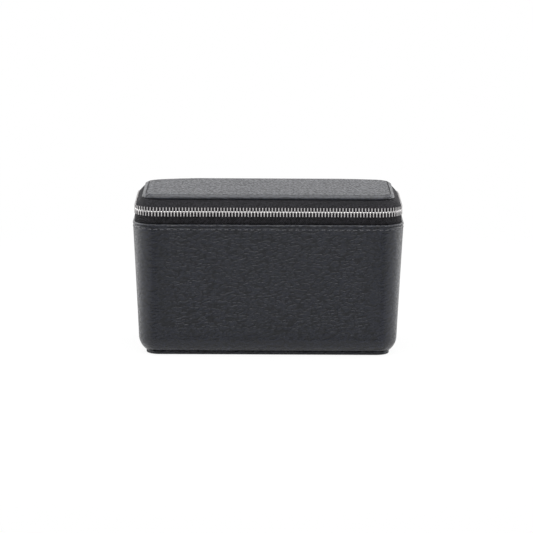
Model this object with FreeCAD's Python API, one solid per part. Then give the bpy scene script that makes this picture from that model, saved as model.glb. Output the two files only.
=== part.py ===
import FreeCAD, Part
import math
import os

V = FreeCAD.Vector

# Driving dimensions of the case, in millimetres.
CASE_WIDTH = 170.0          # across the body's top edge
CASE_DEPTH = 90.0           # front to back over the body's top edge
BODY_TOP = 84.0             # height of the body's top edge above the table
BODY_TAPER = 4.2            # how far each wall draws in between top edge and table
CORNER_RADIUS = 17.0        # plan radius of the corners at the top edge
BASE_ROLL = 6.0             # radius of the rolled lower edge of the leather
BASE_THICKNESS = 2.6        # base panel the case stands on
BASE_INSET = 8.4            # base panel's edge inside the body's top edge
ZIP_BAND = 15.2             # height of the band between body edge and lid edge
LID_INSET = 5.8             # lid panel's edge inside the body's top edge
LID_EDGE = 2.6              # height of the lid panel's edge
LEATHER = 1.3               # covering leather
BOARD = 2.0                 # stiffening board of the body
LINING = 0.9                # suede lining
TAPE = 0.7                  # zip tape and skived hinge leather
TOOTH_PITCH = 2.0           # along one row of the zip
TAIL_LENGTH = 32.0          # closed end of the zip on each side of the hinge strip
SLIDER_LENGTH = 12.0
PULL_LENGTH = 24.0
TRAY_HEIGHT = 28.0          # lift-out tray, floor to rim
TRAY_DROP = 6.0             # tray rim below the body's top edge
RING_ROLLS = 5              # padded rolls in the tray's left part
MIRROR_WIDTH = 112.0
MIRROR_DEPTH = 48.0
MIRROR_RADIUS = 5.0
MIRROR_GLASS = 1.6
FRAME_WIDTH = 5.0           # leather frame round the mirror
FRAME_LIP = 0.7             # its lip in front of the glass
FRAME_HOLD = 1.5            # how far the lip covers the glass
TAPE_TUCK = 8.0             # zip tape sewn inside the body's edge
SEAM_ALLOWANCE = 5.0        # upper tape turned in under the lid's rim
SEAM_SET = 0.4              # tape's fold inside the lid's edge
LINING_SET = 2.0            # lid lining's edge inside the lid's edge
TURN_UNDER = 12.0           # leather turned in below the body, past the base panel's edge
DIVIDER = 2.0               # divider of the lower space
DIVIDER_DROP = 10.0         # its top below the tray
PAD_THICKNESS = 3.6         # floor pads
PAD_EDGE = 2.4              # room round a floor pad
PAD_RADIUS = 7.4
LEDGE_HEIGHT = 9.0          # ledges that carry the tray
LEDGE_REACH = 7.0
LEDGE_SLOPE = 4.0
END_MARGIN = 2.0            # straight stretch kept clear before a corner
TRAY_WALL = 2.0
TRAY_EDGE = 0.8             # rounding of the tray's edges
SPLIT_DROP = 3.0            # tray divider below the tray's rim
CROSS_DROP = 5.0
TAB_WIDTH = 16.0            # finger tabs of the tray
TAB_RISE = 5.0
TAB_TUCK = 2.4
TAB_THICKNESS = 1.2
TAB_ROUND = 4.0
STOP_MARGIN = 1.2           # between the hinge strip and the zip's end stops
STOP_LENGTH = 2.2
RETAINER_LENGTH = 3.4
TEETH_MARGIN = 6.0          # first tooth of a closed end, from the hinge strip
SLIDER_MARGIN = 4.0         # parked slider, from the hinge strip
PLATE = 1.0                 # slider plates
FLANGE = 0.75               # slider flanges
FLANGE_GAP = 0.25
BAR_RADIUS = 0.6            # bar that the pull hangs on
KNUCKLE_WALL = 0.55
PULL_THICKNESS = 1.2

# Clearances.
GLUE = 0.05                 # between glued or sewn layers
SOFT_GAP = 0.3              # round padded pieces
MOVE_GAP = 0.3              # between pieces of different moving bodies
TRAY_GAP = 1.5              # round the lift-out tray
SLOT_GAP = 0.1              # between a zip tooth and the tape it grips
LIP_GAP = 0.15              # between a slider flange and the tape
POST_GAP = 0.2              # between the slider's post and the tape edges
KNUCKLE_GAP = 0.25          # round the slider's bar
OVERLAP = 0.1               # how far joined pieces of one casting run into each other
OVER = 1.0                  # how far a cutting solid runs past what it cuts

# Proportions of the zip, all from the tooth pitch and the tape.
ZIP_Z = BODY_TOP + ZIP_BAND * 0.513
LID_Z = BODY_TOP + ZIP_BAND
TAPE_INSET = LEATHER + GLUE
CHAIN_INSET = TAPE_INSET + TAPE / 2.0
TOOTH_WIDTH = TOOTH_PITCH * 0.39
TOOTH_HALF = TAPE / 2.0 + SLOT_GAP + TOOTH_PITCH * 0.275
TOOTH_HEAD = TOOTH_PITCH * 0.2
TOOTH_ROOT = TOOTH_PITCH * 1.55
TAPE_EDGE = TOOTH_PITCH * 0.5
SHOULDER = TOOTH_ROOT + TOOTH_PITCH * 0.75
TAPE_FOOT = BODY_TOP - TAPE_TUCK
TAIL_END = CASE_WIDTH / 2.0 - CORNER_RADIUS - END_MARGIN
HINGE_HALF = TAIL_END - TAIL_LENGTH

# Lining stack inside the body.
INNER_INSET = LEATHER + GLUE + BOARD + GLUE + LINING
COVER_FLOOR = BASE_THICKNESS + GLUE
BOARD_FLOOR = COVER_FLOOR + LEATHER + GLUE
LINING_FLOOR = BOARD_FLOOR + BOARD + GLUE
INNER_FLOOR = LINING_FLOOR + LINING
TRAY_RIM = BODY_TOP - TRAY_DROP
TRAY_Z = TRAY_RIM - TRAY_HEIGHT

# Axis of the hinge strip, just behind the zip chain.
HINGE_Y = CASE_DEPTH / 2.0 - CHAIN_INSET + TOOTH_HALF + MOVE_GAP


def rounded_wire(half_x, half_y, radius, z):
    """Closed rounded rectangle, drawn counter-clockwise from the front left."""
    r = max(radius, 0.6)
    k = r * (1.0 - math.sqrt(0.5))
    ends = [
        V(-half_x + r, -half_y, z), V(half_x - r, -half_y, z),
        V(half_x, -half_y + r, z), V(half_x, half_y - r, z),
        V(half_x - r, half_y, z), V(-half_x + r, half_y, z),
        V(-half_x, half_y - r, z), V(-half_x, -half_y + r, z),
    ]
    mids = [V(half_x - k, -half_y + k, z), V(half_x - k, half_y - k, z),
            V(-half_x + k, half_y - k, z), V(-half_x + k, -half_y + k, z)]
    edges = []
    for i in range(4):
        edges.append(Part.LineSegment(ends[2 * i], ends[2 * i + 1]).toShape())
        edges.append(Part.Arc(ends[2 * i + 1], mids[i], ends[(2 * i + 2) % 8]).toShape())
    return Part.Wire(edges)


def draw_in(z):
    """How far the tapered wall stands inside its top edge at height z."""
    return BODY_TAPER * (BODY_TOP - z) / BODY_TOP


def plan(inset, z):
    """The body's plan at its top edge, drawn in by inset and placed at height z."""
    return rounded_wire(CASE_WIDTH / 2.0 - inset, CASE_DEPTH / 2.0 - inset,
                        CORNER_RADIUS - inset, z)


def loft(lower, upper):
    return Part.makeLoft([lower, upper], True, True)


def prism(inset, z0, z1):
    return loft(plan(inset, z0), plan(inset, z1))


def tapered(inset, z0, z1):
    """Solid between two heights that follows the body's taper."""
    return loft(plan(inset + draw_in(z0), z0), plan(inset + draw_in(z1), z1))


def level_edges(shape, z):
    found = []
    for edge in shape.Edges:
        box = edge.BoundBox
        if abs(box.ZMin - z) < 1e-4 and abs(box.ZMax - z) < 1e-4:
            found.append(edge)
    return found


def bowl(inset, z0, z1, roll):
    """Tapered solid with a rolled lower edge."""
    solid = tapered(inset, z0, z1)
    return solid.makeFillet(roll, level_edges(solid, z0))


def block(x0, x1, y0, y1, z0, z1):
    return Part.makeBox(x1 - x0, y1 - y0, z1 - z0, V(x0, y0, z0))


def back_block(x0, x1):
    """Everything behind the middle of the case between two x positions."""
    return block(x0, x1, 0.0, CASE_DEPTH, 0.0, 2.0 * LID_Z)


def extruded(points, direction):
    wire = Part.makePolygon(points + [points[0]])
    return Part.Face(wire).extrude(direction)


def save(name, shape):
    shape.exportStep("parts/" + name + ".step")


def make_base_panel():
    panel = prism(BASE_INSET, 0.0, BASE_THICKNESS)
    return panel.makeFillet(BASE_THICKNESS * 0.35,
                            level_edges(panel, 0.0) + level_edges(panel, BASE_THICKNESS))


def make_body_cover():
    outer = bowl(0.0, COVER_FLOOR, BODY_TOP, BASE_ROLL)
    outer = outer.makeFillet(LEATHER * 0.42, level_edges(outer, BODY_TOP))
    inner = bowl(LEATHER, COVER_FLOOR + LEATHER, BODY_TOP + OVER, BASE_ROLL - LEATHER)
    opening = prism(BASE_INSET + TURN_UNDER, 0.0, BASE_THICKNESS + 3.0 * LEATHER)
    return outer.cut(inner).cut(opening)


def make_body_carcass():
    top = BODY_TOP - LINING - GLUE
    roll = BASE_ROLL - LEATHER - GLUE
    outer = bowl(LEATHER + GLUE, BOARD_FLOOR, top, roll)
    inner = bowl(LEATHER + GLUE + BOARD, BOARD_FLOOR + BOARD, BODY_TOP + OVER,
                 max(roll - BOARD, 0.8))
    foot = TAPE_FOOT - GLUE
    rebate = tapered(0.0, foot, BODY_TOP + OVER)
    rebate = rebate.cut(tapered(TAPE_INSET + TAPE + GLUE, foot - OVER, BODY_TOP + 2.0 * OVER))
    return outer.cut(inner).cut(rebate)


def make_body_lining():
    side = LEATHER + GLUE + BOARD + GLUE
    roll = max(BASE_ROLL - LEATHER - BOARD - 2.0 * GLUE, 0.8)
    outer = bowl(side, LINING_FLOOR, BODY_TOP, roll)
    lip = tapered(TAPE_INSET + TAPE + GLUE, BODY_TOP - LINING, BODY_TOP)
    inner = bowl(INNER_INSET, INNER_FLOOR, BODY_TOP + OVER, max(roll - LINING, 0.8))
    return outer.fuse(lip).removeSplitter().cut(inner)


def inner_half(z):
    """Half width and half depth of the lined space at height z."""
    drop = INNER_INSET + draw_in(z)
    return CASE_WIDTH / 2.0 - drop, CASE_DEPTH / 2.0 - drop


def make_floor_pad(side):
    """Padded floor on one side of the lower divider, crowned and soft at its edges."""
    half_x, half_y = inner_half(INNER_FLOOR)
    near = DIVIDER / 2.0 + SOFT_GAP
    far = half_x - PAD_EDGE
    z0 = INNER_FLOOR + SOFT_GAP
    wide = (far - near) / 2.0
    deep = half_y - PAD_EDGE
    wires = []
    for height, draw in ((0.0, 0.11), (0.45, 0.0), (0.85, 0.44), (1.0, 1.1)):
        inset = PAD_THICKNESS * draw
        wires.append(rounded_wire(wide - inset, deep - inset, PAD_RADIUS - inset,
                                  z0 + PAD_THICKNESS * height))
    pad = Part.makeLoft(wires, True, True)
    pad.translate(V(side * (near + far) / 2.0, 0.0, 0.0))
    return pad


def make_lower_divider():
    top = TRAY_Z - DIVIDER_DROP
    bottom = INNER_FLOOR + GLUE
    half_low = inner_half(bottom)[1] - GLUE
    half_top = inner_half(top)[1] - GLUE
    toe = max(BASE_ROLL - LEATHER - BOARD - LINING - 2.0 * GLUE, 0.8) + GLUE
    points = [V(-DIVIDER / 2.0, -half_low + toe, bottom), V(-DIVIDER / 2.0, half_low - toe, bottom),
              V(-DIVIDER / 2.0, half_low, bottom + toe), V(-DIVIDER / 2.0, half_top, top),
              V(-DIVIDER / 2.0, -half_top, top), V(-DIVIDER / 2.0, -half_low, bottom + toe)]
    return extruded(points, V(DIVIDER, 0.0, 0.0))


def make_tray_ledge(side):
    top = TRAY_Z - SLOT_GAP
    bottom = top - LEDGE_HEIGHT
    wall_low = inner_half(bottom)[0] - GLUE
    wall_top = inner_half(top)[0] - GLUE
    reach = inner_half(top)[0] - LEDGE_REACH
    half = CASE_DEPTH / 2.0 - CORNER_RADIUS - END_MARGIN
    points = [V(side * wall_low, -half, bottom), V(side * wall_top, -half, top),
              V(side * reach, -half, top), V(side * reach, -half, bottom + LEDGE_SLOPE)]
    return extruded(points, V(0.0, 2.0 * half, 0.0))


def ring(outer, inner):
    return outer.cut(inner)


def lower_band():
    """Zip tape from its sewn foot inside the body edge up to the chain."""
    tuck = ring(tapered(TAPE_INSET, TAPE_FOOT, BODY_TOP),
                tapered(TAPE_INSET + TAPE, TAPE_FOOT - OVER, BODY_TOP + OVER))
    stand = ring(prism(TAPE_INSET, BODY_TOP, ZIP_Z - TAPE_EDGE),
                 prism(TAPE_INSET + TAPE, BODY_TOP - OVER, ZIP_Z))
    return tuck.fuse(stand).removeSplitter()


def upright_band(z0, z1):
    return ring(prism(TAPE_INSET, z0, z1), prism(TAPE_INSET + TAPE, z0 - OVER, z1 + OVER))


def shoulder_band():
    """Sloping part of the upper tape with the seam allowance under the lid's rim."""
    top = LID_Z - GLUE
    rim = LID_INSET + SEAM_SET
    z0 = ZIP_Z + SHOULDER
    drop = TAPE * 1.15
    outer = loft(plan(TAPE_INSET, z0), plan(rim, top))
    inner = loft(plan(TAPE_INSET, z0 - drop), plan(rim, top - drop))
    skirt = loft(plan(TAPE_INSET + TAPE, z0 - drop - OVER), plan(TAPE_INSET + TAPE, z0 + 0.02))
    window = prism(LID_INSET + SEAM_ALLOWANCE, z0 - OVER, LID_Z + OVER)
    return outer.cut(inner).cut(skirt).cut(window)


def make_zip_tape_lower():
    return lower_band().cut(back_block(-HINGE_HALF - GLUE, HINGE_HALF + GLUE))


def make_zip_tape_upper():
    stand = upright_band(ZIP_Z + TAPE_EDGE, ZIP_Z + SHOULDER)
    stand = stand.cut(back_block(-TAIL_END, TAIL_END))
    slope = shoulder_band().cut(back_block(-HINGE_HALF - GLUE, HINGE_HALF + GLUE))
    return slope.fuse(stand).removeSplitter()


def make_hinge_strip():
    band = lower_band().fuse(upright_band(ZIP_Z - TAPE_EDGE, ZIP_Z + SHOULDER))
    band = band.fuse(shoulder_band())
    return band.common(back_block(-HINGE_HALF, HINGE_HALF)).removeSplitter()


def make_zip_end_tape(side):
    """Upper tape of the closed zip end, which stays with the body."""
    band = upright_band(ZIP_Z + TAPE_EDGE, ZIP_Z + SHOULDER - MOVE_GAP)
    near = HINGE_HALF + GLUE
    far = TAIL_END - MOVE_GAP
    return band.common(back_block(min(side * near, side * far), max(side * near, side * far)))


def tooth(up):
    """One tooth of the zip: a head past the chain's middle and two legs that grip the tape."""
    slot = TAPE / 2.0 + SLOT_GAP
    bite = TAPE_EDGE - SLOT_GAP
    profile = [(-TOOTH_HALF, -TOOTH_ROOT), (-slot, -TOOTH_ROOT), (-slot, -bite), (slot, -bite),
               (slot, -TOOTH_ROOT), (TOOTH_HALF, -TOOTH_ROOT), (TOOTH_HALF, TOOTH_HEAD),
               (-TOOTH_HALF, TOOTH_HEAD)]
    turn = -1.0 if up else 1.0
    points = [V(-TOOTH_WIDTH / 2.0, n, turn * z) for n, z in profile]
    return extruded(points, V(TOOTH_WIDTH, 0.0, 0.0))


CHAIN_X = CASE_WIDTH / 2.0 - CHAIN_INSET
CHAIN_Y = CASE_DEPTH / 2.0 - CHAIN_INSET
CHAIN_R = CORNER_RADIUS - CHAIN_INSET


def chain_legs():
    """Straight and curved stretches of the chain from the right end round to the left end."""
    side = 2.0 * (CHAIN_Y - CHAIN_R)
    front = 2.0 * (CHAIN_X - CHAIN_R)
    back = CHAIN_X - CHAIN_R - TAIL_END
    return [back, side, front, side, back]


def chain_length():
    return sum(chain_legs()) + 2.0 * math.pi * CHAIN_R


def chain_point(s):
    """Position and heading on the chain's middle line; s runs clockwise from the right end."""
    x = TAIL_END
    y = CHAIN_Y
    heading = 0.0
    legs = chain_legs()
    for i, leg in enumerate(legs):
        dx = math.cos(heading)
        dy = math.sin(heading)
        if s <= leg or i == len(legs) - 1:
            return x + s * dx, y + s * dy, heading
        x += leg * dx
        y += leg * dy
        s -= leg
        arc = CHAIN_R * math.pi / 2.0
        cx = x + CHAIN_R * dy
        cy = y - CHAIN_R * dx
        sweep = min(s, arc) / CHAIN_R
        end = heading - sweep
        x = cx - CHAIN_R * math.sin(end)
        y = cy + CHAIN_R * math.cos(end)
        if s <= arc:
            return x, y, end
        s -= arc
        heading = end
    return x, y, heading


def chain_pitch():
    return chain_length() / round(chain_length() / TOOTH_PITCH)


def row(up, first, last):
    """Teeth number first to last of one row, as separate solids."""
    pattern = tooth(up)
    pitch = chain_pitch()
    phase = 0.75 if up else 0.25
    count = int(round(chain_length() / pitch))
    teeth = []
    for i in range(first, last):
        s = (i + phase) * pitch
        if s < 0.0:
            x, y, heading = TAIL_END + s, CHAIN_Y, 0.0
        elif i >= count:
            x, y, heading = -TAIL_END + s - chain_length(), CHAIN_Y, 0.0
        else:
            x, y, heading = chain_point(s)
        piece = pattern.copy()
        piece.rotate(V(0.0, 0.0, 0.0), V(0.0, 0.0, 1.0), math.degrees(heading))
        piece.translate(V(x, y, ZIP_Z))
        teeth.append(piece)
    return teeth


def tail_count(length):
    return int(length / chain_pitch())


SLIDER_X = HINGE_HALF + SLIDER_MARGIN + SLIDER_LENGTH / 2.0
SLIDER_FLANGE = TOOTH_ROOT + FLANGE_GAP
SLIDER_HALF = SLIDER_FLANGE + FLANGE
PLATE_IN = TOOTH_HALF + SLOT_GAP
KNUCKLE_IN = BAR_RADIUS + KNUCKLE_GAP
KNUCKLE_OUT = KNUCKLE_IN + KNUCKLE_WALL
BAR_Y = PLATE_IN + PLATE + KNUCKLE_OUT + MOVE_GAP


def slider_plate(y0, thickness):
    u = SLIDER_LENGTH / 2.0
    w = SLIDER_HALF
    outline = [(-u, -w * 0.72), (-u * 0.75, -w), (0.0, -w), (u, -w * 0.95), (u, w * 0.95),
               (0.0, w), (-u * 0.75, w), (-u, w * 0.72)]
    return extruded([V(x, y0, z) for x, z in outline], V(0.0, thickness, 0.0))


def make_slider_body():
    """Two plates with flanges, joined by the post, with the bar the pull hangs on."""
    u = SLIDER_LENGTH / 2.0
    outer = slider_plate(PLATE_IN, PLATE)
    inner = slider_plate(-PLATE_IN - PLATE, PLATE)
    lip = TAPE / 2.0 + LIP_GAP
    edge = block(-u, u, -SLIDER_HALF, SLIDER_HALF, SLIDER_FLANGE, SLIDER_HALF + OVER)
    edge = edge.fuse(block(-u, u, -SLIDER_HALF, SLIDER_HALF, -SLIDER_HALF - OVER, -SLIDER_FLANGE))
    flange = slider_plate(lip, PLATE_IN - lip + OVERLAP).common(edge)
    flange = flange.fuse(slider_plate(-PLATE_IN - OVERLAP, PLATE_IN - lip + OVERLAP).common(edge))
    post_half = TAPE_EDGE - POST_GAP
    post_in = -PLATE_IN - OVERLAP
    post = [V(-u * 0.93, post_in, 0.0), V(-u * 0.66, post_in, post_half),
            V(-u * 0.34, post_in, 0.0), V(-u * 0.66, post_in, -post_half)]
    post = extruded(post, V(0.0, -2.0 * post_in, 0.0))
    span = u * 0.58
    bar = Part.makeCylinder(BAR_RADIUS, 2.0 * span, V(-span, BAR_Y, 0.0), V(1.0, 0.0, 0.0))
    body = outer.fuse([inner, flange, post, bar])
    for end in (-1.0, 1.0):
        x0 = min(end * span, end * (span + PLATE))
        foot = block(x0, x0 + PLATE, PLATE_IN + PLATE - OVERLAP, BAR_Y + BAR_RADIUS,
                     -BAR_RADIUS, BAR_RADIUS)
        body = body.fuse(foot)
    body = body.removeSplitter()
    body.translate(V(SLIDER_X, CHAIN_Y, ZIP_Z))
    return body


def make_pull_tab():
    """Flat pull with a knuckle round the slider's bar, hanging behind the case."""
    half = SLIDER_LENGTH * 0.13
    knuckle = Part.makeCylinder(KNUCKLE_OUT, 2.0 * half, V(-half, 0.0, 0.0), V(1.0, 0.0, 0.0))
    wide = half * 2.0
    drop = PULL_LENGTH
    outline = [(-half, -KNUCKLE_OUT * 0.6), (-half, -drop * 0.2), (-wide, -drop * 0.62),
               (-wide, -drop * 0.9), (-wide * 0.6, -drop), (wide * 0.6, -drop),
               (wide, -drop * 0.9), (wide, -drop * 0.62), (half, -drop * 0.2),
               (half, -KNUCKLE_OUT * 0.6)]
    plate = extruded([V(x, -PULL_THICKNESS / 2.0, z) for x, z in outline], V(0.0, PULL_THICKNESS, 0.0))
    hole = Part.makeCylinder(KNUCKLE_IN, 4.0 * half, V(-2.0 * half, 0.0, 0.0), V(1.0, 0.0, 0.0))
    eye = Part.makeCylinder(wide * 0.36, 2.0 * PULL_THICKNESS, V(0.0, -PULL_THICKNESS, -drop * 0.8),
                            V(0.0, 1.0, 0.0))
    tab = knuckle.fuse(plate).removeSplitter().cut(hole).cut(eye)
    tab.translate(V(SLIDER_X, CHAIN_Y + BAR_Y, ZIP_Z))
    return tab


def stop_block(x0, x1, z0, z1):
    """Clamp over the tape: a small block with a slot for the tape."""
    clamp = block(x0, x1, CHAIN_Y - TOOTH_HALF, CHAIN_Y + TOOTH_HALF, z0, z1)
    half = TAPE / 2.0 + SLOT_GAP
    low = min(z0, ZIP_Z - TOOTH_ROOT) - OVER
    slot = block(x0 - OVER, x1 + OVER, CHAIN_Y - half, CHAIN_Y + half, low,
                 ZIP_Z - TAPE_EDGE + SLOT_GAP)
    slot = slot.fuse(block(x0 - OVER, x1 + OVER, CHAIN_Y - half, CHAIN_Y + half,
                           ZIP_Z + TAPE_EDGE - SLOT_GAP, max(z1, ZIP_Z + TOOTH_ROOT) + OVER))
    return clamp.cut(slot)


def make_zip_top_stops():
    x0 = HINGE_HALF + STOP_MARGIN
    x1 = x0 + STOP_LENGTH
    lower = stop_block(x0, x1, ZIP_Z - TOOTH_ROOT, ZIP_Z - TAPE_EDGE * 0.3)
    upper = stop_block(x0, x1, ZIP_Z + TAPE_EDGE * 0.3, ZIP_Z + TOOTH_ROOT)
    return Part.Compound([lower, upper])


def make_zip_bottom_stop():
    x1 = -HINGE_HALF - STOP_MARGIN
    return stop_block(x1 - RETAINER_LENGTH, x1, ZIP_Z - TOOTH_ROOT, ZIP_Z + TOOTH_ROOT)


LID_SKIN = LEATHER * 0.92
LID_RIM = LEATHER


def make_lid_cover():
    top = LID_Z + LID_EDGE
    cap = prism(LID_INSET, LID_Z, top)
    cap = cap.makeFillet(LID_EDGE * 0.5, level_edges(cap, top))
    cap = cap.makeFillet(LID_EDGE * 0.15, level_edges(cap, LID_Z))
    pocket = prism(LID_INSET + LID_RIM, LID_Z - OVER, top - LID_SKIN)
    return cap.cut(pocket)


def make_lid_board():
    return prism(LID_INSET + LID_RIM + GLUE, LID_Z, LID_Z + LID_EDGE - LID_SKIN - GLUE)


LID_LINING_TOP = LID_Z - GLUE - TAPE * 1.15 - GLUE
LID_LINING_Z = LID_LINING_TOP - LINING * 1.4


def make_lid_lining():
    panel = prism(LID_INSET + LINING_SET, LID_LINING_Z, LID_LINING_TOP)
    boss = prism(LID_INSET + SEAM_ALLOWANCE + SOFT_GAP, LID_LINING_Z, LID_Z - GLUE)
    return panel.fuse(boss).removeSplitter()


FRAME_Z = LID_LINING_Z - GLUE - MIRROR_GLASS - GLUE - FRAME_LIP


def slab(half_x, half_y, radius, z0, z1):
    return loft(rounded_wire(half_x, half_y, radius, z0), rounded_wire(half_x, half_y, radius, z1))


def make_mirror_glass():
    top = LID_LINING_Z - GLUE
    return slab(MIRROR_WIDTH / 2.0, MIRROR_DEPTH / 2.0, MIRROR_RADIUS, top - MIRROR_GLASS, top)


def make_mirror_frame():
    top = LID_LINING_Z - GLUE
    half_x = MIRROR_WIDTH / 2.0
    half_y = MIRROR_DEPTH / 2.0
    frame = slab(half_x + FRAME_WIDTH, half_y + FRAME_WIDTH, MIRROR_RADIUS + FRAME_WIDTH, FRAME_Z, top)
    frame = frame.makeFillet(FRAME_LIP, level_edges(frame, FRAME_Z))
    seat = slab(half_x + GLUE, half_y + GLUE, MIRROR_RADIUS + GLUE, top - MIRROR_GLASS - GLUE, top + OVER)
    window = slab(half_x - FRAME_HOLD, half_y - FRAME_HOLD, MIRROR_RADIUS - FRAME_HOLD, FRAME_Z - OVER, top)
    return frame.cut(seat).cut(window)


TRAY_X = inner_half(TRAY_Z)[0] - TRAY_GAP
TRAY_Y = inner_half(TRAY_Z)[1] - TRAY_GAP
TRAY_R = max(CORNER_RADIUS - INNER_INSET - draw_in(TRAY_Z) - TRAY_GAP, 3.0)
TRAY_FLOOR = TRAY_Z + TRAY_WALL
TRAY_IN_X = TRAY_X - TRAY_WALL
TRAY_IN_Y = TRAY_Y - TRAY_WALL
ROLL_SPAN = TRAY_IN_X * 0.94
SPLIT_X = -TRAY_IN_X + ROLL_SPAN
ROLL_HEIGHT = TRAY_HEIGHT * 0.62


def make_tray_body():
    tray = slab(TRAY_X, TRAY_Y, TRAY_R, TRAY_Z, TRAY_RIM)
    tray = tray.makeFillet(TRAY_EDGE, level_edges(tray, TRAY_Z) + level_edges(tray, TRAY_RIM))
    hollow = slab(TRAY_IN_X, TRAY_IN_Y, TRAY_R - TRAY_WALL, TRAY_FLOOR, TRAY_RIM + OVER)
    return tray.cut(hollow)


def make_tray_divider():
    half = TRAY_IN_Y - GLUE
    return block(SPLIT_X, SPLIT_X + TRAY_WALL, -half, half, TRAY_FLOOR + GLUE, TRAY_RIM - SPLIT_DROP)


def make_tray_cross_divider():
    x0 = SPLIT_X + TRAY_WALL + GLUE
    x1 = TRAY_IN_X - GLUE
    half = TRAY_WALL / 2.0
    return block(x0, x1, -half, half, TRAY_FLOOR + GLUE, TRAY_RIM - CROSS_DROP)


def roll_wire(half_x, height, y, z0):
    """Soft section of a ring roll: flat below, swelling sides and a crowned top."""
    foot = half_x * 0.7
    brow = z0 + height * 0.88
    waist = (z0 + brow) / 2.0
    edges = [
        Part.LineSegment(V(-foot, y, z0), V(foot, y, z0)).toShape(),
        Part.Arc(V(foot, y, z0), V(half_x, y, waist), V(foot, y, brow)).toShape(),
        Part.Arc(V(foot, y, brow), V(0.0, y, z0 + height), V(-foot, y, brow)).toShape(),
        Part.Arc(V(-foot, y, brow), V(-half_x, y, waist), V(-foot, y, z0)).toShape(),
    ]
    return Part.Wire(edges)


def make_ring_roll(index):
    """One padded roll across the tray, drawn in at both ends."""
    pitch = ROLL_SPAN / RING_ROLLS
    half_x = pitch / 2.0 - SOFT_GAP
    half_y = TRAY_IN_Y - SOFT_GAP - (TRAY_R - TRAY_WALL) * 0.6
    z0 = TRAY_FLOOR + SOFT_GAP
    wires = []
    for along, size in ((-1.0, 0.7), (-0.94, 0.92), (-0.8, 1.0), (0.8, 1.0), (0.94, 0.92), (1.0, 0.7)):
        low = z0 + ROLL_HEIGHT * 0.44 * (1.0 - size)
        wires.append(roll_wire(half_x * size, ROLL_HEIGHT * size, along * half_y, low))
    roll = Part.makeLoft(wires, True, True)
    roll.translate(V(-TRAY_IN_X + pitch * (index + 0.5), 0.0, 0.0))
    return roll


def make_tray_tab(side):
    """Leather finger tab on the inside of the tray's end wall."""
    x1 = TRAY_IN_X - GLUE
    x0 = x1 - TAB_THICKNESS
    half = TAB_WIDTH / 2.0
    top = TRAY_RIM + TAB_RISE
    bottom = TRAY_RIM - TAB_TUCK
    outline = [(-half, bottom), (half, bottom), (half, top - TAB_ROUND), (half - TAB_ROUND, top),
               (-half + TAB_ROUND, top), (-half, top - TAB_ROUND)]
    tab = extruded([V(x0, y, z) for y, z in outline], V(x1 - x0, 0.0, 0.0))
    if side < 0.0:
        tab = tab.mirror(V(0.0, 0.0, 0.0), V(1.0, 0.0, 0.0))
    return tab


def main():
    os.makedirs("parts", exist_ok=True)
    save("base_panel", make_base_panel())
    save("body_cover", make_body_cover())
    save("body_carcass", make_body_carcass())
    save("body_lining", make_body_lining())
    save("lower_divider", make_lower_divider())
    for name, side in (("left", -1.0), ("right", 1.0)):
        save("floor_pad_" + name, make_floor_pad(side))
        save("tray_ledge_" + name, make_tray_ledge(side))
        save("zip_end_tape_" + name, make_zip_end_tape(side))
        save("tray_tab_" + name, make_tray_tab(side))
    save("zip_tape_lower", make_zip_tape_lower())
    save("zip_tape_upper", make_zip_tape_upper())
    save("hinge_strip", make_hinge_strip())
    count = int(round(chain_length() / chain_pitch()))
    left = tail_count(TAIL_LENGTH - TEETH_MARGIN)
    right = tail_count(TAIL_LENGTH - SLIDER_MARGIN - OVER - SLIDER_LENGTH * 0.5)
    save("zip_teeth_lower", Part.Compound(row(False, 0, count + left)))
    save("zip_teeth_upper", Part.Compound(row(True, 0, count)))
    save("zip_teeth_left_end", Part.Compound(row(True, count, count + left)))
    save("zip_teeth_right_end", Part.Compound(row(False, -right, 0) + row(True, -right, 0)))
    save("zip_top_stops", make_zip_top_stops())
    save("zip_bottom_stop", make_zip_bottom_stop())
    save("slider_body", make_slider_body())
    save("pull_tab", make_pull_tab())
    save("lid_cover", make_lid_cover())
    save("lid_board", make_lid_board())
    save("lid_lining", make_lid_lining())
    save("mirror_glass", make_mirror_glass())
    save("mirror_frame", make_mirror_frame())
    save("tray_body", make_tray_body())
    save("tray_divider", make_tray_divider())
    save("tray_cross_divider", make_tray_cross_divider())
    for index in range(RING_ROLLS):
        save("ring_roll_" + str(index + 1), make_ring_roll(index))


main()
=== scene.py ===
"""Looks of a zip-round leather jewellery case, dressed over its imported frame."""

import logging
import math
from dataclasses import dataclass, field
from enum import Enum
from typing import Callable, Sequence

import bmesh
import bpy
from mathutils import Matrix, Quaternion, Vector


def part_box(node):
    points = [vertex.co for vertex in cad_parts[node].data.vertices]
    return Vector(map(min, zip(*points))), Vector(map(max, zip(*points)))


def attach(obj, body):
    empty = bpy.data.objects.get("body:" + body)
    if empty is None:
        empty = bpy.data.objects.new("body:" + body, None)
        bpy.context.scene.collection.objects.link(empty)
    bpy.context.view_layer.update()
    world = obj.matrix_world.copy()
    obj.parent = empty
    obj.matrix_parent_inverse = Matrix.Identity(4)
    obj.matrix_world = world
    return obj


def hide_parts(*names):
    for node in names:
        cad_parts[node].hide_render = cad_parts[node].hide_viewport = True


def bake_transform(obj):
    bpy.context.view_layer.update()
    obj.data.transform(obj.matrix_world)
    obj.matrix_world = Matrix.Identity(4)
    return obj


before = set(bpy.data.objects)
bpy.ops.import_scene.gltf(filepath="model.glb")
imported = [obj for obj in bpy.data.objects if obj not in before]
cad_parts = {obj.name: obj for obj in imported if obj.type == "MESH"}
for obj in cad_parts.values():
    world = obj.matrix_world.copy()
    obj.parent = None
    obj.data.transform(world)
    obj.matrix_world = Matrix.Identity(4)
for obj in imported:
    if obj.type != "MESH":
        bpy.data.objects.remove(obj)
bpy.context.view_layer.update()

LOG = logging.getLogger("jewellery_case")
MM = 0.001
WHITE = (1.0, 1.0, 1.0, 1.0)

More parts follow.
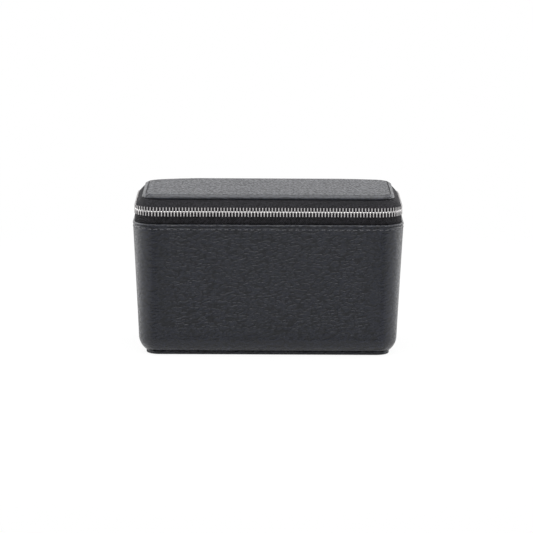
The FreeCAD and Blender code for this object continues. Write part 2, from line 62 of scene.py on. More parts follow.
Pair = tuple[float, float]
Triple = tuple[float, float, float]
Profile = Sequence[Pair]
Mesh = bmesh.types.BMesh
Vert = bmesh.types.BMVert
Edge = bmesh.types.BMEdge
Face = bmesh.types.BMFace
Geometry = Vert | Edge | Face
Piece = bpy.types.Object
Material = bpy.types.Material
Tree = bpy.types.NodeTree
Node = bpy.types.Node
Source = Node | bpy.types.NodeSocket | float


class Carrier(Enum):
    """Moving bodies that the pieces ride on."""

    CASE = "case"
    LID = "lid"
    SLIDER = "slider"
    PULL = "pull_tab"
    TRAY = "tray"


class Slot(Enum):
    """Names of finish slots for the pieces."""

    LEATHER = "leather"
    PADDING = "padding"
    TAPE = "zip_tape"
    METAL = "zip_metal"


def linear(code: str) -> tuple[float, float, float, float]:
    """Turns an sRGB hex colour into linear RGBA.

    Args:
        code: Colour such as "#2a2b2f".

    Returns:
        Linear red, green, blue and an alpha of 1.
    """
    parts = [int(code[i:i + 2], 16) / 255.0 for i in (1, 3, 5)]
    light = [c / 12.92 if c <= 0.04045 else ((c + 0.055) / 1.055) ** 2.4 for c in parts]
    return light[0], light[1], light[2], 1.0


def wire(tree: Tree, node: Node, inputs: dict) -> None:
    """Sets or links a node's inputs.

    Args:
        tree: Node tree the node is in.
        node: The node.
        inputs: Socket name or index to a value, to an output to link, or to a node whose first
            output is linked.
    """
    for key, value in inputs.items():
        socket = node.inputs[key]
        if isinstance(value, Node):
            value = value.outputs[0]
        if isinstance(value, bpy.types.NodeSocket):
            tree.links.new(value, socket)
        else:
            socket.default_value = value


def add_node(tree: Tree, kind: str, inputs: dict | None = None, **settings: str) -> Node:
    """Adds one node, sets it up and links it.

    Args:
        tree: Node tree to add to.
        kind: Node type name.
        inputs: What its inputs are set to or linked with, as for wire.
        settings: Attributes to set on the node.

    Returns:
        The new node.
    """
    node = tree.nodes.new(kind)
    for key, value in settings.items():
        setattr(node, key, value)
    wire(tree, node, inputs or {})
    return node


@dataclass(frozen=True)
class Finish:
    """A named surface finish; each kind dresses the Principled shader its own way."""

    name: str

    def material(self) -> Material:
        """Makes the material.

        Returns:
            A node material with this finish.
        """
        made = bpy.data.materials.new(self.name)
        made.use_nodes = True
        tree = made.node_tree
        place = add_node(tree, "ShaderNodeTexCoord").outputs["Object"]
        self.dress(tree, tree.nodes["Principled BSDF"], place)
        return made

    def dress(self, tree: Tree, shader: Node, place: Source) -> None:
        """Sets the shader's sockets; each finish has its own.

        Args:
            tree: Node tree of the material.
            shader: Its Principled shader.
            place: Where a point lies on the piece, in metres.
        """
        raise NotImplementedError


@dataclass(frozen=True)
class TwoTone(Finish):
    """Finish that mixes two colours and has a pattern in relief."""

    tones: tuple[str, str]

    def paint(self, tree: Tree, shader: Node, share: Source, height: Source, strength: Source,
              depth_mm: float) -> Node:
        """Mixes the two colours and raises the pattern.

        Args:
            tree: Node tree of the material.
            shader: Its Principled shader.
            share: How much of the second colour shows.
            height: Pattern that stands in relief.
            strength: How strongly the relief shows.
            depth_mm: How deep it is.

        Returns:
            The relief's node.
        """
        first, second = (linear(tone) for tone in self.tones)
        colour = add_node(tree, "ShaderNodeMix", {"Factor": share, 6: first, 7: second},
                          data_type="RGBA")
        bump = add_node(tree, "ShaderNodeBump", {
            "Strength": strength, "Distance": depth_mm * MM, "Height": height})
        wire(tree, shader, {"Base Color": colour.outputs[2], "Normal": bump})
        return bump


@dataclass(frozen=True)
class GrainedLeather(TwoTone):
    """Drum-tumbled calf leather: soft wrinkles, painted shade in the creases between pebbles and a
    satin top coat.

    Where the attribute "stretch" is 1 the leather is pulled smooth and glossier round an edge.
    """

    # Painted shade: the first tone darkens the creases between pebbles; the second is the leather's
    # own colour on the pebbles.
    tones: tuple[str, str] = ("#12141a", "#1b1e29")
    wrinkle_mm: Triple = (2.9, 2.9, 1.2)
    slant: float = -13.0
    roughness: Pair = (0.42, 0.58)
    relief_mm: float = 0.5
    coat: Pair = (0.3, 1.0)
    burnish: float = 0.42
    sheen: float = 0.08

    def dress(self, tree: Tree, shader: Node, place: Source) -> None:
        """Rounded pebbles from a bent cell pattern, pores from fine noise, slow tone drift; the
        creases between pebbles are painted darker as shade.

        Real pores are 0.2 mm apart; they are drawn coarser so that they show.
        """
        flow = add_node(tree, "ShaderNodeMapping", {
            "Vector": place, "Rotation": (0.0, math.radians(self.slant), 0.0),
            "Scale": [size * MM for size in self.wrinkle_mm]}, vector_type="TEXTURE")
        warp = add_node(tree, "ShaderNodeTexNoise", {"Vector": flow, "Scale": 0.5, "Detail": 1.0})
        bent = add_node(tree, "ShaderNodeVectorMath", {
            0: warp.outputs["Color"], 1: (1.0, 1.0, 1.0), 2: flow}, operation="MULTIPLY_ADD")
        cells = add_node(tree, "ShaderNodeTexVoronoi", {
            "Vector": bent, "Scale": 1.0, "Smoothness": 0.25}, feature="SMOOTH_F1")
        pebble = add_node(tree, "ShaderNodeMapRange", {
            "Value": cells, "From Min": 0.8, "From Max": 0.3}, interpolation_type="SMOOTHSTEP")
        small = add_node(tree, "ShaderNodeTexVoronoi", {"Vector": bent, "Scale": 2.3}, feature="F1")
        folds = add_node(tree, "ShaderNodeTexNoise", {"Vector": bent, "Scale": 0.8, "Detail": 1.0})
        pores = add_node(tree, "ShaderNodeTexNoise", {
            "Vector": place, "Scale": 1.0 / (0.8 * MM), "Detail": 2.0})
        height = pebble
        for pattern, weight in ((small, -0.3), (folds, 0.45), (pores, 0.2)):
            height = add_node(tree, "ShaderNodeMath", {0: pattern, 1: weight, 2: height},
                              operation="MULTIPLY_ADD")
        pulled = add_node(tree, "ShaderNodeAttribute", attribute_name="stretch").outputs["Fac"]
        slack = add_node(tree, "ShaderNodeMapRange", {
            "Value": pulled, "To Min": 0.85, "To Max": 0.2})
        drift = add_node(tree, "ShaderNodeTexNoise", {
            "Vector": place, "Scale": 1.0 / (26.0 * MM), "Detail": 2.0})
        tone = add_node(tree, "ShaderNodeMapRange", {
            "Value": drift, "From Min": 0.3, "From Max": 0.7, "To Min": 0.75, "To Max": 1.0})
        # Painted shade: the colour falls to the darker tone in the creases between pebbles, scaled
        # by the random tone drift.
        share = add_node(tree, "ShaderNodeMath", {0: pebble, 1: tone}, operation="MULTIPLY")
        bump = self.paint(tree, shader, share, height, slack, self.relief_mm)
        worn = add_node(tree, "ShaderNodeMath", {0: folds, 1: 0.8, 2: pebble},
                        operation="MULTIPLY_ADD")
        gloss = add_node(tree, "ShaderNodeMapRange", {
            "Value": worn, "From Min": 0.5, "From Max": 1.3,
            "To Min": self.roughness[1], "To Max": self.roughness[0]})
        rubbed = add_node(tree, "ShaderNodeMapRange", {
            "Value": pulled, "To Min": 1.0, "To Max": self.burnish})
        shine = add_node(tree, "ShaderNodeMath", {0: gloss, 1: rubbed}, operation="MULTIPLY")
        lacquer = add_node(tree, "ShaderNodeMapRange", {
            "Value": pulled, "From Min": 0.75, "To Min": self.coat[0], "To Max": self.coat[1]})
        wire(tree, shader, {
            "Roughness": shine, "IOR": 1.5, "Specular IOR Level": 0.38,
            "Coat Weight": lacquer, "Coat Roughness": 0.28, "Coat Normal": bump,
            "Sheen Weight": self.sheen, "Sheen Roughness": 0.3})


@dataclass(frozen=True)
class WovenTape(TwoTone):
    """Twill zip tape of spun polyester: matt, with fine slanting ribs and a dusty yarn."""

    tones: tuple[str, str] = ("#050506", "#26252a")
    rib_mm: float = 1.2

    def dress(self, tree: Tree, shader: Node, place: Source) -> None:
        """Slanting twill ribs over a speckle of yarn.

        The real ribs are 0.3 mm apart; they are drawn coarser so that they show.
        """
        turn = 2.0 * math.pi / (self.rib_mm * MM)
        phase = add_node(tree, "ShaderNodeVectorMath", {0: place, 1: (turn, turn, 0.8 * turn)},
                         operation="DOT_PRODUCT")
        ribs = add_node(tree, "ShaderNodeMath", {0: phase.outputs["Value"]}, operation="SINE")
        yarn = add_node(tree, "ShaderNodeTexNoise", {
            "Vector": place, "Scale": 1.0 / (1.1 * MM), "Detail": 2.0})
        height = add_node(tree, "ShaderNodeMath", {0: yarn, 1: 6.0, 2: ribs},
                          operation="MULTIPLY_ADD")
        fleck = add_node(tree, "ShaderNodeMapRange", {
            "Value": height, "From Min": 1.8, "From Max": 4.2})
        self.paint(tree, shader, fleck, height, strength=0.9, depth_mm=0.13)
        wire(tree, shader, {"Roughness": 0.85, "Specular IOR Level": 0.3})


@dataclass(frozen=True)
class PolishedNickel(Finish):
    """Nickel-plated brass, barrel polished: bright with faint tumbling scuffs."""

    colour: str = "#f0eeee"
    roughness: Pair = (0.12, 0.24)

    def dress(self, tree: Tree, shader: Node, place: Source) -> None:
        """Scuffs vary the gloss and stand very slightly in relief."""
        scuff = add_node(tree, "ShaderNodeTexNoise", {
            "Vector": place, "Scale": 1.0 / (0.9 * MM), "Detail": 4.0, "Roughness": 0.65})
        gloss = add_node(tree, "ShaderNodeMapRange", {
            "Value": scuff, "From Min": 0.3, "From Max": 0.7,
            "To Min": self.roughness[0], "To Max": self.roughness[1]})
        bump = add_node(tree, "ShaderNodeBump", {
            "Strength": 0.15, "Distance": 0.03 * MM, "Height": scuff})
        wire(tree, shader, {"Base Color": linear(self.colour), "Metallic": 1.0,
                            "Roughness": gloss, "Normal": bump})


@dataclass(frozen=True)
class Microsuede(TwoTone):
    """Brushed microfibre lining: short nap that brushes lighter and darker in patches."""

    tones: tuple[str, str] = ("#332f2f", "#4a4645")

    def dress(self, tree: Tree, shader: Node, place: Source) -> None:
        """Brushed patches a few millimetres across over a fine nap."""
        patch = add_node(tree, "ShaderNodeTexNoise", {
            "Vector": place, "Scale": 1.0 / (9.0 * MM), "Detail": 3.0})
        nap = add_node(tree, "ShaderNodeTexNoise", {
            "Vector": place, "Scale": 1.0 / (0.4 * MM), "Detail": 2.0})
        blend = add_node(tree, "ShaderNodeMath", {0: nap, 1: 0.5, 2: patch},
                         operation="MULTIPLY_ADD")
        share = add_node(tree, "ShaderNodeMapRange", {
            "Value": blend, "From Min": 0.5, "From Max": 1.0})
        self.paint(tree, shader, share, nap, strength=0.4, depth_mm=0.12)
        wire(tree, shader, {"Roughness": 0.95, "Sheen Weight": 0.35, "Sheen Roughness": 0.45})


@dataclass(frozen=True)
class WaxedThread(TwoTone):
    """Bonded polyester sewing thread, lightly waxed: twisted strands with a soft shine."""

    # Painted highlight: this body thread is the same dark thread as the lid's, drawn lighter grey
    # for the light it catches.
    tones: tuple[str, str] = ("#303034", "#5c5c61")

    def dress(self, tree: Tree, shader: Node, place: Source) -> None:
        """Strands as a slanted wave along the stitch."""
        strand = add_node(tree, "ShaderNodeTexWave", {
            "Vector": place, "Scale": 1.0 / (2.2 * MM), "Distortion": 1.5},
            wave_type="BANDS", bands_direction="DIAGONAL").outputs["Fac"]
        self.paint(tree, shader, strand, strand, strength=0.5, depth_mm=0.06)
        wire(tree, shader, {"Roughness": 0.5})


@dataclass(frozen=True)
class SilveredGlass(Finish):
    """Float glass silvered at the back: clean, with a trace of handling haze."""

    colour: str = "#eef0f0"

    def dress(self, tree: Tree, shader: Node, place: Source) -> None:
        """Haze varies the gloss a little over the glass."""
        haze = add_node(tree, "ShaderNodeTexNoise", {
            "Vector": place, "Scale": 1.0 / (30.0 * MM), "Detail": 4.0})
        gloss = add_node(tree, "ShaderNodeMapRange", {
            "Value": haze, "From Min": 0.4, "From Max": 0.8, "To Min": 0.02, "To Max": 0.07})
        wire(tree, shader, {"Base Color": linear(self.colour), "Metallic": 1.0,
                            "Roughness": gloss})


@dataclass(frozen=True)
class GreyBoard(TwoTone):
    """Recycled grey board: matt pulp with flecks of fibre."""

    tones: tuple[str, str] = ("#6a655e", "#8b857c")

    def dress(self, tree: Tree, shader: Node, place: Source) -> None:
        """Fibre flecks a millimetre or two long."""
        fibre = add_node(tree, "ShaderNodeTexNoise", {
            "Vector": place, "Scale": 1.0 / (1.5 * MM), "Detail": 5.0, "Roughness": 0.7})
        self.paint(tree, shader, fibre, fibre, strength=0.3, depth_mm=0.1)
        wire(tree, shader, {"Roughness": 0.9})


@dataclass(frozen=True)
class WhiteTable(Finish):
    """White laminate: plain white to the eye, and it keeps the contact shadow."""

    colour: str = "#f8f8f8"
    haze: Pair = (0.92, 1.0)

    def dress(self, tree: Tree, shader: Node, place: Source) -> None:
        """White light for the eye and for gloss, dimmer for gloss in front and far behind."""
        wire(tree, shader, {"Base Color": linear(self.colour), "Roughness": 0.8,
                            "Specular IOR Level": 0.1})
        rays = add_node(tree, "ShaderNodeLightPath")
        gloss = rays.outputs["Is Glossy Ray"]
        split = add_node(tree, "ShaderNodeSeparateXYZ", {0: place})
        reach = add_node(tree, "ShaderNodeVectorMath", {0: place}, operation="LENGTH")
        near, far, clear = (add_node(tree, "ShaderNodeMapRange", {
            "Value": value, "From Min": low, "From Max": high, "To Min": start, "To Max": end},
            interpolation_type="SMOOTHSTEP") for value, low, high, start, end in (
                (split.outputs["Y"], -0.06, 0.14, 0.6, 1.0),
                (split.outputs["Y"], 0.26, 0.42, 1.0, 0.42),
                (reach.outputs["Value"], 0.15, 0.5, *self.haze)))
        dim = add_node(tree, "ShaderNodeMath", {0: near, 1: far}, operation="MULTIPLY")
        seen = add_node(tree, "ShaderNodeMath", {0: rays.outputs["Is Camera Ray"], 1: gloss},
                        operation="MAXIMUM")
        share = add_node(tree, "ShaderNodeMath", {0: seen, 1: clear}, operation="MULTIPLY")
        level = add_node(tree, "ShaderNodeMix", {"Factor": gloss, 2: 1.0, 3: dim},
                         data_type="FLOAT")
        white = add_node(tree, "ShaderNodeEmission", {"Color": WHITE, "Strength": level})
        mix = add_node(tree, "ShaderNodeMixShader", {0: share, 1: shader, 2: white})
        wire(tree, tree.nodes["Material Output"], {"Surface": mix})


@dataclass
class Finishes:
    """The materials of the case, each made once."""

    leather: Material = field(
        default_factory=GrainedLeather("pebbled_calf_leather").material)
    lid_leather: Material = field(default_factory=GrainedLeather(
        "pebbled_calf_leather_lid", slant=0.0, wrinkle_mm=(1.5, 2.3, 1.5), relief_mm=0.72,
        coat=(0.15, 0.2), roughness=(0.32, 0.6), burnish=0.9, sheen=0.0).material)
    tape: Material = field(default_factory=WovenTape("woven_zip_tape").material)
    nickel: Material = field(default_factory=PolishedNickel("polished_nickel").material)
    suede: Material = field(default_factory=Microsuede("brushed_microsuede").material)
    # Painted highlight: the body's thread is drawn lighter grey than the lid's black thread of the
    # same kind.
    thread: Material = field(default_factory=WaxedThread("waxed_thread").material)
    lid_thread: Material = field(
        default_factory=WaxedThread("waxed_thread_black", ("#0c0c0e", "#17171a")).material)
    mirror: Material = field(
        default_factory=SilveredGlass("silvered_float_glass").material)
    board: Material = field(default_factory=GreyBoard("grey_board").material)


@dataclass(frozen=True)
class CaseSizes:
    """Sizes shared by the sub-assemblies, in metres."""

    half_x: float = 85.0 * MM
    half_y: float = 45.0 * MM
    corner: float = 17.0 * MM
    body_top: float = 84.0 * MM
    taper: float = 4.2 * MM
    cover_floor: float = 2.65 * MM
    base_thickness: float = 2.6 * MM
    base_inset: float = 8.4 * MM
    tape: float = 0.7 * MM
    tape_inset: float = 1.35 * MM
    zip_z: float = 91.7976 * MM
    tape_edge: float = 1.0 * MM
    lid_z: float = 99.2 * MM
    lid_inset: float = 5.8 * MM
    lid_edge: float = 2.6 * MM
    hinge_half: float = 34.0 * MM
    tail_end: float = 66.0 * MM
    tooth_pitch: float = 2.0 * MM

    def draw_in(self, z: float) -> float:
        """How far the tapered wall stands inside its top edge at height z."""
        return self.taper * (self.body_top - z) / self.body_top

    def loop(self, inset: float, gap_half: float = 0.0, corner_steps: int = 16) -> "RoundedLoop":
        """Plan of the case drawn in by an inset, open at the back where a gap is asked for."""
        return RoundedLoop(self.half_x - inset, self.half_y - inset, self.corner - inset,
                           gap_half, corner_steps)

    def path(self, inset: float) -> "LoopPath":
        """Plan of the case drawn in by an inset, measured by length."""
        return LoopPath(self.half_x - inset, self.half_y - inset, self.corner - inset)

    @property
    def chain_path(self) -> "LoopPath":
        """Path of the zip chain, along the middle of the tape's thickness."""
        return self.path(self.tape_inset + self.tape / 2.0)


@dataclass(frozen=True)
class Station:
    """One point of a loop in plan and the way that is outwards there."""

    x: float
    y: float
    out_x: float
    out_y: float


@dataclass
class RoundedLoop:
    """Rounded rectangle that profiles are swept along."""

    half_x: float
    half_y: float
    radius: float
    gap_half: float = 0.0
    corner_steps: int = 16
    run_cuts: int = 11
    stations: list[Station] = field(default_factory=list)

    def start(self, bm: Mesh) -> list[Edge]:
        """Draws the loop's edges and notes its stations.

        Args:
            bm: Empty mesh to draw in.

        Returns:
            The edges of the loop, open at the back where gap_half asks for it.
        """
        bmesh.ops.create_grid(bm, x_segments=1, y_segments=1, size=0.5)
        bmesh.ops.scale(bm, verts=bm.verts, vec=(2.0 * self.half_x, 2.0 * self.half_y, 1.0))
        soften(bm, bm.verts, self.radius, self.corner_steps, "VERTICES")
        bmesh.ops.delete(bm, geom=bm.faces[:], context="FACES_ONLY")
        runs = [e for e in bm.edges if e.calc_length() > self.radius]
        bmesh.ops.subdivide_edges(bm, edges=runs, cuts=self.run_cuts)
        if self.gap_half > 0.0:
            self.open_back(bm)
        mark = bm.verts.layers.int.new("station")
        inner_x = self.half_x - self.radius
        inner_y = self.half_y - self.radius
        for index, vert in enumerate(bm.verts):
            vert[mark] = index
            core = Vector((max(-inner_x, min(inner_x, vert.co.x)),
                           max(-inner_y, min(inner_y, vert.co.y)), 0.0))
            out = (vert.co - core).normalized()
            self.stations.append(Station(vert.co.x, vert.co.y, out.x, out.y))
        return bm.edges[:]

    def open_back(self, bm: Mesh) -> None:
        """Cuts the loop at both sides of the gap and takes out what lies between."""
        for side in (-1.0, 1.0):
            bmesh.ops.bisect_plane(bm, geom=bm.verts[:] + bm.edges[:], dist=1e-6,
                                   plane_co=(side * self.gap_half, 0.0, 0.0),
                                   plane_no=(1.0, 0.0, 0.0))
        between = [e for e in bm.edges
                   if all(v.co.y > 0.0 and abs(v.co.x) < self.gap_half + 1e-5 for v in e.verts)]
        bmesh.ops.delete(bm, geom=between, context="EDGES")

    def place(self, bm: Mesh, verts: Sequence[Vert], point: Pair,
              other: Pair, share: Callable[[Station], float]) -> None:
        """Puts one ring of vertices at its offset and height, blended where a share says so."""
        mark = bm.verts.layers.int["station"]
        for vert in verts:
            s = self.stations[vert[mark]]
            part = share(s)
            offset = point[0] + (other[0] - point[0]) * part
            z = point[1] + (other[1] - point[1]) * part
            vert.co = (s.x + s.out_x * offset, s.y + s.out_y * offset, z)

    def sweep(self, profile: Profile, towards: Profile | None = None,
              share: Callable[[Station], float] = lambda s: 0.0,
              fill_ends: bool = False) -> Mesh:
        """Sweeps a profile round the loop by extruding ring after ring.

        Args:
            profile: Pairs of offset from the loop and height.
            towards: Profile with as many points that it turns into where share is 1.
            share: How much of the second profile holds at a station.
            fill_ends: Whether the first and last rings are closed with a face.

        Returns:
            The swept mesh, with the last ring's edges selected.
        """
        towards = towards or profile
        bm = bmesh.new()
        edges = self.start(bm)
        self.place(bm, bm.verts, profile[0], towards[0], share)
        if fill_ends:
            bmesh.ops.contextual_create(bm, geom=edges)
        for point, other in zip(profile[1:], towards[1:]):
            grown = bmesh.ops.extrude_edge_only(bm, edges=edges)["geom"]
            edges = only(grown, Edge)
            self.place(bm, only(grown, Vert), point, other, share)
        if fill_ends:
            bmesh.ops.contextual_create(bm, geom=edges)
        bmesh.ops.recalc_face_normals(bm, faces=bm.faces)
        for edge in bm.edges:
            edge.select = False
        for edge in edges:
            edge.select = True
        return bm


@dataclass(frozen=True)
class LoopPath:
    """Rounded rectangle measured by length, clockwise from the middle of its back."""

    half_x: float
    half_y: float
    radius: float

    @property
    def length(self) -> float:
        """Length once round."""
        straight = 4.0 * (self.half_x + self.half_y - 2.0 * self.radius)
        return straight + 2.0 * math.pi * self.radius

    def at(self, s: float) -> Matrix:
        """Place on the path at a distance from the middle of the back, towards the right.

        Args:
            s: Distance along the path.

        Returns:
            Matrix with x along the path and y outwards.
        """
        run_x = self.half_x - self.radius
        run_y = self.half_y - self.radius
        bend = self.radius * math.pi / 2.0
        x, y, heading = 0.0, self.half_y, 0.0
        left = s % self.length
        for leg in (run_x, 2.0 * run_y, 2.0 * run_x, 2.0 * run_y, run_x):
            step = min(left, leg)
            x += step * math.cos(heading)
            y += step * math.sin(heading)
            left -= step
            swing = min(left, bend) / self.radius
            x += self.radius * (math.sin(heading) - math.sin(heading - swing))
            y += self.radius * (math.cos(heading - swing) - math.cos(heading))
            heading -= swing
            left -= swing * self.radius
            if left <= 1e-12:
                break
        return Matrix.Translation((x, y, 0.0)) @ Matrix.Rotation(heading, 4, "Z")


def arc(centre: Pair, radius: float, start: float, end: float, steps: int) -> list[Pair]:
    """Points of a circular arc in a profile.

    Args:
        centre: Offset and height of the arc's centre.
        radius: Its radius.
        start: First angle in degrees, from the outward direction upwards.
        end: Last angle in degrees.
        steps: Number of steps between them.

    Returns:
        Pairs of offset and height.
    """
    turn = [math.radians(start + (end - start) * i / steps) for i in range(steps + 1)]
    return [(centre[0] + radius * math.cos(a), centre[1] + radius * math.sin(a)) for a in turn]


def smooth_step(value: float, low: float, high: float) -> float:
    """Soft step from 0 at low to 1 at high."""
    t = max(0.0, min(1.0, (value - low) / (high - low)))
    return t * t * (3.0 - 2.0 * t)


def only(geom: Sequence[Geometry], kind: type) -> list[Geometry]:
    """Those of a mesh operator's results that are of one kind."""
    return [g for g in geom if isinstance(g, kind)]


def soften(bm: Mesh, geom: Sequence[Geometry], offset: float, segments: int,
           affect: str = "EDGES") -> list[Vert]:
    """Rounds edges or corners of a mesh.

    Args:
        bm: The mesh.
        geom: Its edges or vertices to round.
        offset: How far the rounding reaches.
        segments: Number of steps across it.
        affect: Whether "EDGES" or "VERTICES" are rounded.

    Returns:
        The vertices of the rounding.
    """
    return bmesh.ops.bevel(bm, geom=list(geom), offset=offset, offset_type="OFFSET", affect=affect,
                           segments=segments, profile=0.5, material=-1)["verts"]


def add_box(bm: Mesh, low: Vector, high: Vector) -> list[Vert]:
    """Adds a plain box between two corners and gives back its vertices."""
    form = Matrix.Translation((low + high) / 2.0) @ Matrix.Diagonal((*(high - low), 1.0))
    return bmesh.ops.create_cube(bm, size=1.0, matrix=form)["verts"]


def finish_piece(bm: Mesh, name: str, material: Material,
                 smooth: bool = True) -> Piece:
    """Turns a finished mesh into an object of the scene.

    Args:
        bm: Mesh to take over; it is freed.
        name: Name of the piece.
        material: Its finish.
        smooth: Whether its faces are shaded smooth.

    Returns:
        The new object, at the origin.
    """
    mesh = bpy.data.meshes.new(name)
    for face in bm.faces:
        face.smooth = smooth
    bm.to_mesh(mesh)
    bm.free()
    mesh.materials.append(material)
    piece = bpy.data.objects.new(name, mesh)
    bpy.context.scene.collection.objects.link(piece)
    return piece


def thicken(piece: Piece, thickness: float) -> None:
    """Gives a sheet its thickness, inwards from its outer face."""
    wall = piece.modifiers.new("thickness", "SOLIDIFY")
    wall.thickness = thickness
    wall.offset = -1.0


def seat(piece: Piece, carrier: Carrier, slot: Slot, *nodes: str) -> None:
    """Lets a piece ride on its body, in place of the CAD nodes it stands for.

    Args:
        piece: The piece.
        carrier: Body it rides on.
        slot: Finish slot meant for it; not used.
        nodes: CAD nodes it stands for.
    """
    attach(piece, carrier.value)
    if nodes:
        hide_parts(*nodes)
    LOG.info("%s rides on %s", piece.name, carrier.value)


def bend(piece: Piece, slot: Slot, low: float, high: float, *nodes: str) -> None:
    """Bakes a soft piece's placement into its mesh, in place of the CAD nodes it stands for.

    Args:
        piece: The piece, its mesh final.
        slot: Finish slot meant for it; not used.
        low: Height up to which it would stay on the case; not used.
        high: Height from which it would follow the lid; not used.
        nodes: CAD nodes it stands for.
    """
    if nodes:
        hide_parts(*nodes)
    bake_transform(piece)
    LOG.info("%s bends between case and lid", piece.name)


def dress_nodes(material: Material, *nodes: str) -> None:
    """Gives CAD nodes that keep their shape their finish."""
    for node in nodes:
        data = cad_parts[node].data
        data.materials.clear()
        data.materials.append(material)
        LOG.info("%s keeps its shape, in %s", node, material.name)


@dataclass(frozen=True)
class StitchLine:
    """Row of lockstitches that follows a rounded rectangle."""

    path: LoopPath
    z: float
    pitch: float = 4.0 * MM
    length: float = 3.1 * MM
    width: float = 0.62 * MM
    height: float = 0.5 * MM
    lean: float = 2.5

    def build(self) -> Mesh:
        """Lays one slim, rounded stitch per pitch.

        Returns:
            The stitches as one mesh.
        """
        bm = bmesh.new()
        count = round(self.path.length / self.pitch)
        shape = Matrix.Rotation(math.radians(self.lean), 4, "Y") @ Matrix.Diagonal(
            (self.length / 2.0, self.height / 2.0, self.width / 2.0, 1.0))
        lift = Matrix.Translation((0.0, 0.0, self.z))
        for i in range(count):
            spot = self.path.at((i + 0.5) * self.path.length / count)
            bmesh.ops.create_uvsphere(bm, u_segments=8, v_segments=5, radius=1.0,
                                      matrix=lift @ spot @ shape)
        return bm


@dataclass(frozen=True)
class PaddedForm:
    """Stuffed pad that starts as its CAD form, a little smaller, and swells as cloth."""

    node: str
    voxel: float
    shrink: float
    cap: float
    enlarge: float = 20.0
    pressure: float = 4.0
    frames: int = 20

    def build(self, name: str, material: Material) -> Piece:
        """Makes the pad.

        Args:
            name: Name of the piece.
            material: Its finish.

        Returns:
            The padded piece, inside the room its node holds.
        """
        low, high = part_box(self.node)
        middle = (low + high) / 2.0
        size = high - low
        bm = bmesh.new()
        bm.from_mesh(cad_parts[self.node].data)
        bmesh.ops.remove_doubles(bm, verts=bm.verts, dist=0.005 * MM)
        less = Vector((1.0 - 2.0 * self.shrink / size[i] for i in range(3)))
        bmesh.ops.translate(bm, verts=bm.verts, vec=-middle)
        bmesh.ops.scale(bm, verts=bm.verts, vec=less * self.enlarge)
        piece = finish_piece(bm, name, material)
        self.remesh(piece)
        self.swell(piece)
        back = 1.0 / self.enlarge
        piece.data.transform(Matrix.Translation(middle) @ Matrix.Scale(back, 4))
        self.keep_inside(piece, low, high)
        soft = piece.modifiers.new("soft", "SUBSURF")
        soft.levels = soft.render_levels = 1
        return piece

    def remesh(self, piece: Piece) -> None:
        """Lays an even net over the pad's form."""
        net = piece.modifiers.new("net", "REMESH")
        net.mode = "VOXEL"
        net.voxel_size = self.voxel * self.enlarge
        net.use_smooth_shade = True
        self.apply(piece)

    def apply(self, piece: Piece) -> None:
        """Keeps what the modifiers show and takes them off."""
        graph = bpy.context.evaluated_depsgraph_get()
        shown = bpy.data.meshes.new_from_object(piece.evaluated_get(graph))
        piece.modifiers.clear()
        old = piece.data
        piece.data = shown
        bpy.data.meshes.remove(old)
        shown.name = piece.name

    def swell(self, piece: Piece) -> None:
        """Blows the cloth up from inside and holds each point near its start."""
        start = [v.co.copy() for v in piece.data.vertices]
        cloth = piece.modifiers.new("cloth", "CLOTH")
        cloth.settings.use_pressure = True
        cloth.settings.uniform_pressure_force = self.pressure
        cloth.settings.effector_weights.gravity = 0.0
        cloth.point_cache.frame_end = self.frames
        scene = bpy.context.scene
        for number in range(1, self.frames + 1):
            scene.frame_set(number)
        self.apply(piece)
        scene.frame_set(1)
        most = self.cap * self.enlarge
        for vert, rest in zip(piece.data.vertices, start):
            move = vert.co - rest
            if move.length > most:
                vert.co = rest + move.normalized() * most

    def keep_inside(self, piece: Piece, low: Vector, high: Vector) -> None:
        """Flattens the pad where it meets the limits of its room."""
        for vert in piece.data.vertices:
            vert.co = [max(low[i], min(high[i], vert.co[i])) for i in range(3)]


def copy_pad(pad: Piece, name: str, shift: Vector,
             flip: bool = False) -> Piece:
    """Makes another pad of the same form.

    Args:
        pad: The pad to follow.
        name: Name of the new pad.
        shift: How far it lies from the first.
        flip: Whether it is turned end for end first.

    Returns:
        The new pad.
    """
    twin = pad.copy()
    twin.name = name
    twin.data = pad.data.copy()
    twin.data.name = name
    if flip:
        twin.data.transform(Matrix.Rotation(math.pi, 4, "Z"))
    twin.data.transform(Matrix.Translation(shift))
    bpy.context.scene.collection.objects.link(twin)
    return twin


@dataclass
class SubAssembly:
    """Part of the case, built from the shared sizes and finishes."""

    sizes: CaseSizes
    finishes: Finishes


